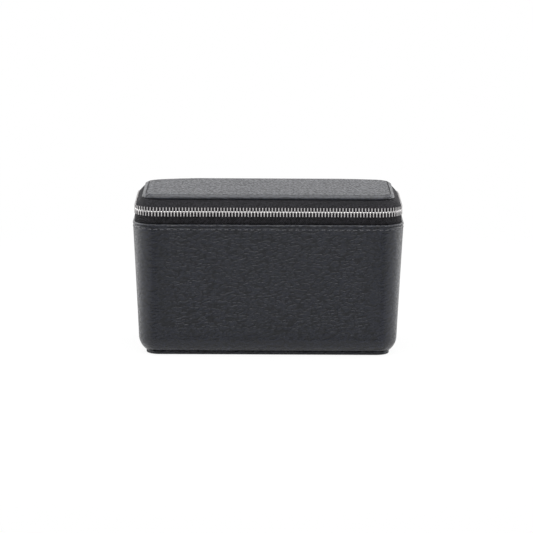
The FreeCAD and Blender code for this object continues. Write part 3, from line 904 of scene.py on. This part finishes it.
@dataclass
class Body(SubAssembly):
    """Leather-covered body with its base panel, linings and lower space."""

    turn_in: float = 13.5 * MM
    foot: float = 0.7 * MM
    foot_rise: float = 0.45 * MM
    roll: float = 11.0 * MM
    roll_start: float = 11.2 * MM
    crease: Profile = ((-1.0, 0.0), (-0.5, 0.15), (-0.22, 0.7), (0.0, 1.0), (0.2, 0.7),
                       (0.42, 0.1), (0.65, -0.1))
    crease_drop: float = 2.0 * MM
    crease_depth: float = 0.42 * MM
    lip: float = 1.0 * MM
    lip_inside: Profile = ((-1.31 * MM, 0.35 * MM), (-1.34 * MM, 2.4 * MM))
    stitch_drop: float = 3.15 * MM
    wall_mm: Sequence[float] = (14.0, 18.0, 23.0, 42.0, 60.0, 76.0, 79.5)
    base_edge: float = 0.95 * MM
    base_inner: float = -5.0 * MM
    foot_zone: Pair = (9.0 * MM, 20.0 * MM)
    edge_zone: Pair = (4.0 * MM, 2.0 * MM)

    def roll_profile(self) -> list[Pair]:
        """Lower edge: turned under the base, then rolled up into the wall.

        Returns:
            Pairs of offset from the top edge's plan and height.
        """
        s = self.sizes
        centre = (-s.draw_in(self.roll_start) - self.roll, self.roll_start)
        rise = self.roll_start - s.cover_floor - self.foot_rise
        points = arc(centre, self.roll, -math.degrees(math.asin(rise / self.roll)), 0.0, 9)
        edge = (points[0][0] - 0.55 * self.foot, s.cover_floor + 0.08 * MM)
        return [(-self.turn_in, s.cover_floor), (edge[0] - self.foot, s.cover_floor), edge,
                *points]

    def lip_profile(self) -> list[Pair]:
        """Creased and rounded top edge of the leather, turned in over the board.

        Returns:
            Pairs of offset from the top edge's plan and height.
        """
        s = self.sizes
        top = s.body_top
        points = []
        for step, dip in self.crease:
            z = top - self.crease_drop + step * MM
            points.append((-s.draw_in(z) - dip * self.crease_depth, z))
        points += arc((0.08 * MM - self.lip, top - self.lip), self.lip, 0.0, 105.0, 9)
        return points + [(offset, top - drop) for offset, drop in self.lip_inside]

    def mark_stretch(self, bm: Mesh) -> None:
        """Notes where the leather is pulled smooth: corners, lower roll and top edge."""
        s = self.sizes
        layer = bm.verts.layers.float.new("stretch")
        for vert in bm.verts:
            round_x = (abs(vert.co.x) - s.half_x + s.corner) / s.corner
            round_y = (abs(vert.co.y) - s.half_y + s.corner) / s.corner
            corner = smooth_step(min(round_x, round_y), -0.5, 0.6)
            foot = 1.0 - smooth_step(vert.co.z, *self.foot_zone)
            edge = smooth_step(vert.co.z, *(s.body_top - drop for drop in self.edge_zone))
            vert[layer] = max(corner * (1.0 - 0.55 * edge), 0.8 * foot, 0.45 * edge)

    def build_cover(self) -> None:
        """Leather cover of the body."""
        s = self.sizes
        wall = [(-s.draw_in(z * MM), z * MM) for z in self.wall_mm]
        bm = s.loop(0.0).sweep(self.roll_profile() + wall + self.lip_profile())
        self.mark_stretch(bm)
        piece = finish_piece(bm, "body_leather", self.finishes.leather)
        seat(piece, Carrier.CASE, Slot.LEATHER, "body_cover")

    def build_seam(self) -> None:
        """Stitches below the body's edge that hold the zip tape."""
        s = self.sizes
        z = s.body_top - self.stitch_drop
        path = s.path(s.draw_in(z) + 0.03 * MM)
        piece = finish_piece(StitchLine(path, z).build(), "body_seam", self.finishes.thread)
        seat(piece, Carrier.CASE, Slot.LEATHER)

    def build_base(self) -> None:
        """Leather-covered base panel with soft edges."""
        s = self.sizes
        edge = self.base_edge
        top = s.base_thickness
        profile = [(self.base_inner, 0.0), *arc((-edge, edge), edge, -90.0, 0.0, 5),
                   *arc((-edge, top - edge), edge, 0.0, 90.0, 5), (self.base_inner, top)]
        bm = s.loop(s.base_inset, corner_steps=12).sweep(profile, fill_ends=True)
        piece = finish_piece(bm, "base_leather", self.finishes.leather)
        seat(piece, Carrier.CASE, Slot.LEATHER, "base_panel")

    def build_pads(self) -> None:
        """Stuffed pads on the floor of the lower space."""
        pad = PaddedForm("floor_pad_left", voxel=1.5 * MM, shrink=0.5 * MM, cap=0.9 * MM)
        left = pad.build("floor_pad_left_suede", self.finishes.suede)
        shift = sum((*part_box("floor_pad_right"), *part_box("floor_pad_left")), Vector()) / 2.0
        right = copy_pad(left, "floor_pad_right_suede", Vector((shift.x, shift.y, 0.0)), flip=True)
        for piece, node in ((left, "floor_pad_left"), (right, "floor_pad_right")):
            seat(piece, Carrier.CASE, Slot.PADDING, node)

    def build(self) -> None:
        """Builds and dresses the whole body."""
        self.build_cover()
        self.build_seam()
        self.build_base()
        self.build_pads()
        dress_nodes(self.finishes.board, "body_carcass")
        dress_nodes(self.finishes.suede, "body_lining", "lower_divider", "tray_ledge_left",
                    "tray_ledge_right")


@dataclass
class ZipChain(SubAssembly):
    """Zip tapes, the two rows of teeth and the stops at their ends."""

    tooth_width: float = 0.86 * MM
    tooth_depth: float = 1.6 * MM
    tooth_head: float = 0.46 * MM
    tooth_neck: float = 0.62 * MM
    tooth_root: float = 2.65 * MM
    leg_lean: float = 0.2
    slope_start: float = 2.0 * MM
    box_start: float = 4.6 * MM
    flange: float = 4.0 * MM
    tuck: float = 2.2 * MM
    bulge: float = 0.15
    hinge_gap: float = 0.05 * MM
    left_teeth: int = 12
    right_teeth: int = 10

    def shoulder(self, start: float) -> list[Pair]:
        """Shoulder of the upper tape from above the chain to the seam under the lid's rim.

        Args:
            start: Height above the chain's middle where it begins to draw in.

        Returns:
            Pairs of offset from the tape's outer face and height.
        """
        s = self.sizes
        low = s.zip_z + start
        rise = s.lid_z - 0.05 * MM - low
        reach = s.lid_inset + 0.4 * MM - s.tape_inset
        points = [(0.0, s.zip_z + s.tape_edge), (0.0, s.zip_z + 0.5 * (start + s.tape_edge))]
        for i in range(11):
            turn = i / 10.0 * math.pi / 2.0
            plain = (1.0 - self.bulge) * i / 10.0
            points.append((-reach * (self.bulge * (1.0 - math.cos(turn)) + plain),
                           low + rise * (self.bulge * math.sin(turn) + plain)))
        points.append((-reach - self.flange, low + rise))
        return points

    @property
    def fold(self) -> Pair:
        """Heights between which the back of the shoulder folds as the lid opens."""
        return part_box("zip_end_tape_left")[1].z, self.sizes.lid_z - 0.4 * MM

    def back_share(self, station: Station) -> float:
        """How far a station lies round a back corner, from the side to the back."""
        s = self.sizes
        if station.y < s.half_y - s.corner:
            return 0.0
        return smooth_step(math.degrees(math.atan2(station.out_y, abs(station.out_x))), 5.0, 75.0)

    def build_tapes(self) -> None:
        """Lower tape on the case, upper tape on the lid, and its closed ends at the back."""
        s = self.sizes
        top = s.zip_z - s.tape_edge
        upright = [(0.0, z) for z in (s.body_top - self.tuck, s.body_top + 2.0 * MM,
                                      top - 1.6 * MM, top)]
        start = s.hinge_half + self.hinge_gap
        low = s.loop(s.tape_inset, start).sweep(upright)
        high = s.loop(s.tape_inset, s.tail_end).sweep(
            self.shoulder(self.slope_start), self.shoulder(self.box_start), self.back_share)
        for bm, name, carrier, node in ((low, "tape_lower", Carrier.CASE, "zip_tape_lower"),
                                        (high, "tape_upper", Carrier.LID, "zip_tape_upper")):
            piece = finish_piece(bm, name, self.finishes.tape)
            thicken(piece, s.tape)
            seat(piece, carrier, Slot.TAPE, node)
        for side, name in ((-1.0, "left"), (1.0, "right")):
            ends = sorted((side * start, side * s.tail_end))
            profile = [(0.0, self.fold[0])] + self.shoulder(self.box_start)[2:]
            bm = back_sheet(ends, s.half_y - s.tape_inset, profile, s.tape)
            piece = finish_piece(bm, "tape_shoulder_" + name, self.finishes.tape)
            bend(piece, Slot.TAPE, *self.fold)
            dress_nodes(self.finishes.tape, "zip_end_tape_" + name)

    def teeth(self, first: int, last: int, pitch: float, up: bool) -> Mesh:
        """A stretch of one row of teeth, each with a gripping leg and a wider head.

        Args:
            first: Number of its first tooth, counted from the right end of the main run.
            last: Number after its last tooth.
            pitch: Distance from tooth to tooth.
            up: Whether the row hangs from the upper tape.

        Returns:
            The teeth as one mesh.
        """
        s = self.sizes
        path = s.chain_path
        flip = Matrix.Diagonal((1.0, 1.0, -1.0 if up else 1.0, 1.0))
        lean = Matrix.Identity(4)
        lean[2][1] = -self.leg_lean
        shapes = []
        for low, high, width in ((-self.tooth_root, -self.tooth_neck + 0.1 * MM, 0.8),
                                 (-self.tooth_neck, self.tooth_head, 1.0)):
            size = (self.tooth_width * width, self.tooth_depth, high - low, 1.0)
            middle = Matrix.Translation((0.0, 0.0, (low + high) / 2.0))
            shapes.append(flip @ lean @ middle @ Matrix.Diagonal(size))
        bm = bmesh.new()
        for i in range(first, last):
            spot = Matrix.Translation((0.0, 0.0, s.zip_z)) @ path.at(
                s.tail_end + (i + (0.75 if up else 0.25)) * pitch)
            for shape in shapes:
                bmesh.ops.create_cube(bm, size=1.0, matrix=spot @ shape)
        kept = [e for e in bm.edges
                if min(abs(v.co.z - s.zip_z) for v in e.verts) < 0.8 * self.tooth_root]
        soften(bm, kept, 0.15 * MM, 1)
        bmesh.ops.recalc_face_normals(bm, faces=bm.faces)
        return bm

    def build_teeth(self) -> None:
        """All the teeth: the main run, and the closed ends beside the hinge strip."""
        s = self.sizes
        run = s.chain_path.length - 2.0 * s.tail_end
        count = round(run / s.tooth_pitch)
        pitch = run / count
        left, right = count + self.left_teeth, -self.right_teeth
        rows = (("teeth_lower", 0, count, False, Carrier.CASE, "zip_teeth_lower"),
                ("teeth_upper", 0, count, True, Carrier.LID, "zip_teeth_upper"),
                ("teeth_left_end_lower", count, left, False, Carrier.CASE, "zip_teeth_left_end"),
                ("teeth_left_end_upper", count, left, True, Carrier.CASE, ""),
                ("teeth_right_end_lower", right, 0, False, Carrier.CASE, "zip_teeth_right_end"),
                ("teeth_right_end_upper", right, 0, True, Carrier.CASE, ""))
        for name, first, last, up, carrier, node in rows:
            bm = self.teeth(first, last, pitch, up)
            piece = finish_piece(bm, name, self.finishes.nickel, smooth=False)
            seat(piece, carrier, Slot.METAL, *([node] if node else []))

    def build_stops(self) -> None:
        """Crimped clamps at the ends of the chain, each with two pressed grooves."""
        s = self.sizes
        gap = 0.3 * s.tape_edge
        for node, parted in (("zip_top_stops", True), ("zip_bottom_stop", False)):
            low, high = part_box(node)
            bm = bmesh.new()
            halves = [(low.z, s.zip_z - gap), (s.zip_z + gap, high.z)]
            for bottom, top in halves if parted else [(low.z, high.z)]:
                add_box(bm, Vector((low.x, low.y, bottom)), Vector((high.x, high.y, top)))
            soften(bm, bm.edges, 0.42 * MM, 3)
            broad = [f for f in bm.faces if abs(f.normal.y) > 0.99 and f.calc_area() > MM * MM]
            for width, depth in ((0.3, 0.0), (0.2, -0.18)):
                bmesh.ops.inset_individual(bm, faces=broad, thickness=width * MM, depth=depth * MM)
            piece = finish_piece(bm, node + "_nickel", self.finishes.nickel)
            seat(piece, Carrier.CASE, Slot.METAL, node)

    def build(self) -> None:
        """Builds tapes, teeth and stops."""
        self.build_tapes()
        self.build_teeth()
        self.build_stops()


@dataclass
class Slider(SubAssembly):
    """Cast zip slider with its bridge, and the pull that hangs on it."""

    plate: float = 1.0 * MM
    flange: float = 0.75 * MM
    rounding: float = 1.7 * MM
    plate_edge: float = 0.32 * MM
    nose: float = 0.88
    bar: float = 0.6 * MM
    bridge_half: float = 3.9 * MM
    bridge_bend: float = 1.0 * MM
    knuckle: Pair = (0.85 * MM, 1.4 * MM)
    pull_thickness: float = 1.2 * MM
    neck_half: float = 1.56 * MM
    pull_half: float = 3.12 * MM
    pull_edge: float = 0.28 * MM
    pull_rim: Profile = ((0.45 * MM, 0.0), (0.14 * MM, -0.16 * MM))
    chamfer: float = 0.2 * MM
    eye: float = 1.15 * MM

    def add_plate(self, bm: Mesh, low: Vector, high: Vector) -> None:
        """One plate with rounded corners, narrower at the nose, and soft edges.

        Args:
            bm: Mesh to add to.
            low: Its lowest corner.
            high: Its highest corner.
        """
        middle = (low + high) / 2.0
        made = add_box(bm, low, high)
        for vert in made:
            if vert.co.x < middle.x:
                vert.co.z = middle.z + (vert.co.z - middle.z) * self.nose
        across = {e for v in made for e in v.link_edges
                  if abs(e.verts[0].co.y - e.verts[1].co.y) > 0.5 * (high.y - low.y)}
        made = soften(bm, across, self.rounding, 5)
        around = {e for v in made for f in v.link_faces if abs(f.normal.y) > 0.99 for e in f.edges}
        soften(bm, around, self.plate_edge, 3)

    def add_bridge(self, bm: Mesh, centre: Vector, top: float, foot: float) -> None:
        """Round bar bent into a bridge that the pull hangs on.

        Args:
            bm: Mesh to add to.
            centre: Middle of the slider.
            top: Where the bar's middle line lies.
            foot: Where its feet start, inside the outer plate.
        """
        bend = self.bridge_bend
        left = centre.x - self.bridge_half
        spot = Matrix.Translation((left, foot, centre.z)) @ Matrix.Rotation(
            math.radians(-90.0), 4, "X")
        ring = bmesh.ops.create_circle(bm, cap_ends=True, segments=12, radius=self.bar,
                                       matrix=spot)["verts"]
        faces = list({f for v in ring for f in v.link_faces})
        run = 2.0 * (self.bridge_half - bend)
        rise = top - bend - foot
        for move in ((0.0, rise, 0.0), -1.0, (run, 0.0, 0.0), 1.0, (0.0, -rise, 0.0)):
            if isinstance(move, tuple):
                grown = bmesh.ops.extrude_face_region(bm, geom=faces)["geom"]
                bmesh.ops.translate(bm, verts=only(grown, Vert), vec=move)
            else:
                side = centre.x + move * (self.bridge_half - bend)
                grown = bmesh.ops.spin(bm, geom=faces, cent=(side, top - bend, centre.z),
                                       axis=(0.0, 0.0, 1.0), angle=math.radians(-90.0),
                                       steps=6)["geom_last"]
            bmesh.ops.delete(bm, geom=faces, context="FACES_ONLY")
            faces = only(grown, Face)

    def build_body(self) -> None:
        """Two plates, their turned-in flanges and the bridge."""
        low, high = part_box("slider_body")
        centre = (low + high) / 2.0
        chain_y = self.sizes.half_y - self.sizes.tape_inset - self.sizes.tape / 2.0
        top = high.y - self.bar
        outer = 2.0 * chain_y - low.y
        lip = self.sizes.tape / 2.0 + 0.15 * MM
        bm = bmesh.new()
        for face in (outer - self.plate, low.y):
            self.add_plate(bm, Vector((low.x, face, low.z)),
                           Vector((high.x, face + self.plate, high.z)))
        for face in (-1.0, 1.0):
            for edge in (-1.0, 1.0):
                inner = chain_y + face * lip
                outside = chain_y + face * (outer - chain_y - 0.4 * self.plate)
                reach = (high.z - low.z) / 2.0
                size = Vector(((high.x - low.x) * 0.5, abs(outside - inner), self.flange))
                middle = Vector((centre.x + 0.1 * (high.x - low.x), (inner + outside) / 2.0,
                                 centre.z + edge * (reach - self.flange / 2.0)))
                for vert in add_box(bm, middle - size / 2.0, middle + size / 2.0):
                    share = (high.x - vert.co.x) / (high.x - low.x)
                    vert.co.z -= edge * (0.06 * MM + reach * (1.0 - self.nose) * share)
        self.add_bridge(bm, centre, top, outer - 0.3 * self.plate)
        bmesh.ops.recalc_face_normals(bm, faces=bm.faces)
        piece = finish_piece(bm, "slider_nickel", self.finishes.nickel)
        seat(piece, Carrier.SLIDER, Slot.METAL, "slider_body")

    def build_pull(self) -> None:
        """Flat pull with a raised rim, an eye and the knuckle that turns on the bridge."""
        low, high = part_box("pull_tab")
        centre = (low + high) / 2.0
        bar = Vector((centre.x, centre.y, self.sizes.zip_z))
        drop = bar.z - low.z
        bm = bmesh.new()
        half = ((self.neck_half, -0.9 * MM), (self.neck_half, -0.2 * drop),
                (self.pull_half, -0.62 * drop), (self.pull_half, -drop))
        outline = [bm.verts.new((x, 0.0, z)) for x, z in half]
        outline += [bm.verts.new((-x, 0.0, z)) for x, z in reversed(half)]
        bmesh.ops.contextual_create(bm, geom=outline)
        soften(bm, outline[3:5], 2.2 * MM, 7, "VERTICES")
        soften(bm, outline[1:3] + outline[5:7], 2.4 * MM, 4, "VERTICES")
        rim = bm.edges[:]
        bmesh.ops.delete(bm, geom=bm.faces[:], context="FACES_ONLY")
        eye = bmesh.ops.create_circle(bm, segments=24, radius=self.eye, matrix=Matrix.Translation(
            (0.0, 0.0, -0.8 * drop)) @ Matrix.Rotation(math.radians(90.0), 4, "X"))["verts"]
        hole = list({e for v in eye for e in v.link_edges})
        bmesh.ops.bridge_loops(bm, edges=rim + hole)
        bmesh.ops.recalc_face_normals(bm, faces=bm.faces)
        front = bm.faces[:]
        bmesh.ops.translate(bm, verts=bm.verts, vec=(0.0, self.pull_thickness / 2.0, 0.0))
        grown = bmesh.ops.extrude_face_region(bm, geom=front, use_keep_orig=True)["geom"]
        bmesh.ops.translate(bm, verts=only(grown, Vert),
                            vec=(0.0, -self.pull_thickness, 0.0))
        bmesh.ops.recalc_face_normals(bm, faces=bm.faces)
        sharp = [e for e in bm.edges
                 if len(e.link_faces) == 2 and e.calc_face_angle() > math.radians(60.0)]
        soften(bm, sharp, self.pull_edge, 3)
        for side in (-1.0, 1.0):
            flat = [f for f in bm.faces if f.normal.y * side > 0.999]
            for width, depth in self.pull_rim:
                bmesh.ops.inset_region(bm, faces=flat, thickness=width, depth=depth,
                                       use_even_offset=True)
        inner, outer = self.knuckle
        end = self.neck_half
        half = ((end, inner), (end, outer - self.chamfer), (end - self.chamfer, outer))
        tube = [bm.verts.new((-x, 0.0, z)) for x, z in half]
        tube += [bm.verts.new((x, 0.0, z)) for x, z in reversed(half)]
        ring = [bm.edges.new(pair) for pair in zip(tube, tube[1:] + tube[:1])]
        bmesh.ops.spin(bm, geom=tube + ring, cent=(0.0, 0.0, 0.0), axis=(1.0, 0.0, 0.0),
                       angle=2.0 * math.pi, steps=28, use_merge=True)
        bmesh.ops.remove_doubles(bm, verts=bm.verts, dist=0.002 * MM)
        bmesh.ops.recalc_face_normals(bm, faces=bm.faces)
        bmesh.ops.translate(bm, verts=bm.verts, vec=bar)
        piece = finish_piece(bm, "pull_nickel", self.finishes.nickel)
        seat(piece, Carrier.PULL, Slot.METAL, "pull_tab")

    def build(self) -> None:
        """Builds slider and pull."""
        self.build_body()
        self.build_pull()


def back_sheet(ends: Sequence[float], back: float, profile: Profile,
               thickness: float) -> Mesh:
    """Straight sheet along the back of the case.

    Args:
        ends: Its left and right ends.
        back: Where its plain outer face lies.
        profile: Pairs of offset from there and height, from below upwards.
        thickness: Its thickness, inwards from its outer face.

    Returns:
        The sheet, facing backwards.
    """
    bm = bmesh.new()
    bmesh.ops.create_grid(bm, x_segments=1, y_segments=len(profile) - 1, size=0.5)
    for vert in bm.verts:
        row = round((vert.co.y + 0.5) * (len(profile) - 1))
        offset, z = profile[row]
        vert.co = (ends[0] if vert.co.x < 0.0 else ends[1], back + offset, z)
    bmesh.ops.reverse_faces(bm, faces=bm.faces)
    bmesh.ops.solidify(bm, geom=bm.faces[:], thickness=thickness)
    bmesh.ops.recalc_face_normals(bm, faces=bm.faces)
    return bm


@dataclass
class HingeStrip(SubAssembly):
    """Leather strip at the back that the lid swings on."""

    chain: ZipChain
    steps: int = 20
    stretch: float = 0.3

    def build(self) -> None:
        """One sheet of leather between case and lid."""
        s = self.sizes
        top = s.zip_z + self.chain.box_start
        low = s.body_top - self.chain.tuck
        profile = [(0.0, low + (top - low) * i / self.steps) for i in range(self.steps)]
        profile += self.chain.shoulder(self.chain.box_start)[2:]
        bm = back_sheet((-s.hinge_half, s.hinge_half), s.half_y - s.tape_inset, profile, s.tape)
        across = [e for e in bm.edges if abs(e.verts[0].co.x - e.verts[1].co.x) > MM]
        bmesh.ops.subdivide_edges(bm, edges=across, cuts=7, use_grid_fill=True)
        layer = bm.verts.layers.float.new("stretch")
        for vert in bm.verts:
            vert[layer] = self.stretch
        piece = finish_piece(bm, "hinge_leather", self.finishes.lid_leather)
        bend(piece, Slot.LEATHER, *self.chain.fold, "hinge_strip")


@dataclass
class Lid(SubAssembly):
    """Leather lid panel with its lining and mirror."""

    bevel: Profile = ((0.05, 2.0), (0.22, 1.65), (0.5, 1.28), (0.9, 0.85), (1.3, 0.5),
                      (1.65, 0.25), (1.9, 0.11))
    crease: Profile = ((-0.5, 0.06), (-0.3, 0.5), (0.0, 1.0), (0.3, 0.5), (0.5, 0.06))
    crease_inset: float = 2.6 * MM
    crease_depth: float = 0.8 * MM
    crown: float = 0.2 * MM
    crown_zone: Pair = (3.0 * MM, 22.0 * MM)
    corner_sag: Pair = (1.05 * MM, 0.6 * MM)
    sag_x: Pair = (45.0 * MM, 80.0 * MM)
    sag_y: Pair = (-10.0 * MM, 40.0 * MM)
    edge_zone: Pair = (1.6 * MM, 3.4 * MM)

    def cover_profile(self) -> list[Pair]:
        """Rim, rolled edge and crease of the lid's leather, from below to its level top.

        Returns:
            Pairs of offset from the lid's edge and height.
        """
        s = self.sizes
        top = s.lid_z + s.lid_edge
        points = [(-1.3 * MM, s.lid_z + 0.9 * MM), (-1.2 * MM, s.lid_z)]
        points += arc((-0.3 * MM, s.lid_z + 0.3 * MM), 0.3 * MM, -90.0, 0.0, 4)
        for step, drop in self.bevel:
            points.append((-step * MM, top - drop * MM))
        for step, dip in self.crease:
            points.append((-self.crease_inset - step * MM, top - dip * self.crease_depth))
        points += [(-inset * MM, top) for inset in (3.6, 5.0, 7.0, 10.0)]
        return points

    def close_top(self, bm: Mesh) -> None:
        """Spans the level top with an even net between front and back."""
        s = self.sizes
        ring = [e for e in bm.edges if e.select]
        reach = s.half_y - s.corner - 1e-6
        front = [e for e in ring if all(v.co.y < -reach for v in e.verts)]
        back = [e for e in ring if all(v.co.y > reach for v in e.verts)]
        made = bmesh.ops.bridge_loops(bm, edges=front + back)
        across = [e for e in made["edges"] if abs(e.verts[0].co.y - e.verts[1].co.y) > s.half_y]
        bmesh.ops.subdivide_edges(bm, edges=across, cuts=11, use_grid_fill=True)
        bmesh.ops.remove_doubles(bm, verts=bm.verts, dist=0.004 * MM)
        bmesh.ops.recalc_face_normals(bm, faces=bm.faces)

    def settle(self, bm: Mesh) -> None:
        """Lets the top crown a little and sag at its back corners; notes its pulled edge."""
        s = self.sizes
        layer = bm.verts.layers.float.new("stretch")
        for vert in bm.verts:
            x, y, z = vert.co
            lift = smooth_step(z, s.lid_z + 0.3 * MM, s.lid_z + s.lid_edge)
            inside = min(s.half_x - s.lid_inset - abs(x), s.half_y - s.lid_inset - abs(y))
            crown = self.crown * smooth_step(inside, *self.crown_zone)
            sag = self.corner_sag[x > 0.0] * smooth_step(abs(x), *self.sag_x)
            sag *= smooth_step(y, *self.sag_y)
            vert.co.z = z + lift * (crown - sag)
            vert[layer] = 1.0 - smooth_step(inside, *self.edge_zone)

    def build_cover(self) -> None:
        """Leather cover of the lid."""
        bm = self.sizes.loop(self.sizes.lid_inset, corner_steps=12).sweep(self.cover_profile())
        self.close_top(bm)
        self.settle(bm)
        piece = finish_piece(bm, "lid_leather", self.finishes.lid_leather)
        seat(piece, Carrier.LID, Slot.LEATHER, "lid_cover")

    def build_seam(self) -> None:
        """Stitches sunk in the crease along the lid's edge."""
        s = self.sizes
        path = s.path(s.lid_inset + self.crease_inset)
        z = s.lid_z + s.lid_edge - 0.4 * self.crease_depth
        bm = StitchLine(path, z, lean=0.0).build()
        self.settle(bm)
        piece = finish_piece(bm, "lid_seam", self.finishes.lid_thread)
        seat(piece, Carrier.LID, Slot.LEATHER)

    def build(self) -> None:
        """Builds the lid and dresses what stays below it."""
        self.build_cover()
        self.build_seam()
        dress_nodes(self.finishes.board, "lid_board")
        dress_nodes(self.finishes.suede, "lid_lining")
        dress_nodes(self.finishes.mirror, "mirror_glass")
        dress_nodes(self.finishes.leather, "mirror_frame")


@dataclass
class Tray(SubAssembly):
    """Lift-out tray with its dividers, ring rolls and finger tabs."""

    rolls: int = 5

    def build_rolls(self) -> None:
        """Stuffed rolls that grip rings between them; one is swollen and the rest follow it."""
        nodes = [f"ring_roll_{i + 1}" for i in range(self.rolls)]
        first = PaddedForm(nodes[0], voxel=1.2 * MM, shrink=0.55 * MM, cap=1.0 * MM).build(
            nodes[0] + "_suede", self.finishes.suede)
        home = sum(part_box(nodes[0]), Vector()) / 2.0
        pieces = [first]
        for number, node in enumerate(nodes[1:], start=1):
            place = sum(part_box(node), Vector()) / 2.0
            turned = number % 2 == 1
            start = Vector((-home.x, -home.y, home.z)) if turned else home
            pieces.append(copy_pad(first, node + "_suede", place - start, flip=turned))
        for piece, node in zip(pieces, nodes):
            seat(piece, Carrier.TRAY, Slot.PADDING, node)

    def build(self) -> None:
        """Builds and dresses the tray."""
        self.build_rolls()
        dress_nodes(self.finishes.suede, "tray_body", "tray_divider", "tray_cross_divider")
        dress_nodes(self.finishes.leather, "tray_tab_left", "tray_tab_right")


@dataclass(frozen=True)
class SoftBox:
    """Large soft lamp beside the case."""

    name: str
    place: Triple
    size: Pair
    watts: float

    def build(self, aim: Vector) -> None:
        """Hangs up the lamp, facing the point it is aimed at."""
        data = bpy.data.lights.new(self.name, "AREA")
        data.shape = "RECTANGLE"
        data.size, data.size_y = self.size
        data.energy = self.watts
        lamp = bpy.data.objects.new(self.name, data)
        lamp.location = self.place
        way = aim - Vector(self.place)
        lamp.rotation_euler = way.to_track_quat("-Z", "Y").to_euler()
        lamp.visible_camera = False
        bpy.context.scene.collection.objects.link(lamp)


@dataclass
class Studio:
    """White table, soft lamps and the photograph's viewpoint."""

    aim: Triple = (-0.00095, 0.0, 0.0502)
    distance: float = 2.0
    elevation: float = 9.6
    azimuth: float = 0.05
    roll: float = 0.27
    frame_px: float = 533.0
    focal_px: float = 3132.0
    table_half: float = 2.6
    lamp_aim: Triple = (0.0, 0.0, 0.06)
    lamps: Sequence[SoftBox] = (
        SoftBox("top_box", (0.0, -0.1, 1.3), (2.0, 1.4), 28.0),
        SoftBox("left_box", (-1.5, 0.6, 0.7), (2.4, 1.6), 17.0),
        SoftBox("right_box", (1.5, 0.6, 0.7), (2.4, 1.6), 17.0),
        SoftBox("front_fill", (0.2, -1.9, 1.3), (0.9, 0.6), 6.0))

    def build_camera(self) -> None:
        """Camera at the fitted viewpoint."""
        data = bpy.data.cameras.new("viewpoint")
        data.sensor_width = 36.0
        data.lens = data.sensor_width * self.focal_px / self.frame_px
        camera = bpy.data.objects.new("viewpoint", data)
        rise = math.radians(self.elevation)
        turn = math.radians(self.azimuth)
        back = Vector((-math.cos(rise) * math.sin(turn), -math.cos(rise) * math.cos(turn),
                       math.sin(rise)))
        camera.location = Vector(self.aim) + self.distance * back
        look = (-back).to_track_quat("-Z", "Y")
        camera.rotation_mode = "QUATERNION"
        camera.rotation_quaternion = look @ Quaternion((0.0, 0.0, 1.0), math.radians(self.roll))
        bpy.context.scene.collection.objects.link(camera)
        bpy.context.scene.camera = camera

    def build_table(self) -> None:
        """White table top."""
        bm = bmesh.new()
        bmesh.ops.create_grid(bm, x_segments=1, y_segments=1, size=self.table_half)
        made = WhiteTable("white_laminate_table").material()
        finish_piece(bm, "table_top", made, smooth=False)

    def build_world(self) -> None:
        """White room; the side where the viewer stands is dimmer for gloss and light."""
        world = bpy.data.worlds.new("white_room")
        world.use_nodes = True
        bpy.context.scene.world = world
        tree = world.node_tree
        rays = add_node(tree, "ShaderNodeLightPath").outputs
        way = add_node(tree, "ShaderNodeTexCoord").outputs["Generated"]
        split = add_node(tree, "ShaderNodeSeparateXYZ", {0: way})
        room = add_node(tree, "ShaderNodeMapRange", {
            "Value": split.outputs["Y"], "From Min": -0.8, "From Max": 0.35,
            "To Min": 0.12, "To Max": 1.0}, interpolation_type="SMOOTHSTEP")
        level = add_node(tree, "ShaderNodeMix", {
            "Factor": rays["Is Glossy Ray"], 2: 0.33, 3: room}, data_type="FLOAT")
        seen = add_node(tree, "ShaderNodeMix", {
            "Factor": rays["Is Camera Ray"], 2: level, 3: 1.0}, data_type="FLOAT")
        wire(tree, tree.nodes["Background"], {"Color": WHITE, "Strength": seen})

    def build(self) -> None:
        """Builds the whole studio."""
        self.build_camera()
        self.build_table()
        for lamp in self.lamps:
            lamp.build(Vector(self.lamp_aim))
        self.build_world()
        bpy.context.scene.view_settings.view_transform = "Standard"


def main() -> None:
    """Builds the case's pieces in order and then the studio."""
    logging.basicConfig(level=logging.INFO, format="%(name)s: %(message)s")
    sizes = CaseSizes()
    finishes = Finishes()
    chain = ZipChain(sizes, finishes)
    Body(sizes, finishes).build()
    chain.build()
    Slider(sizes, finishes).build()
    HingeStrip(sizes, finishes, chain).build()
    Lid(sizes, finishes).build()
    Tray(sizes, finishes).build()
    Studio().build()


if __name__ == "__main__":
    main()
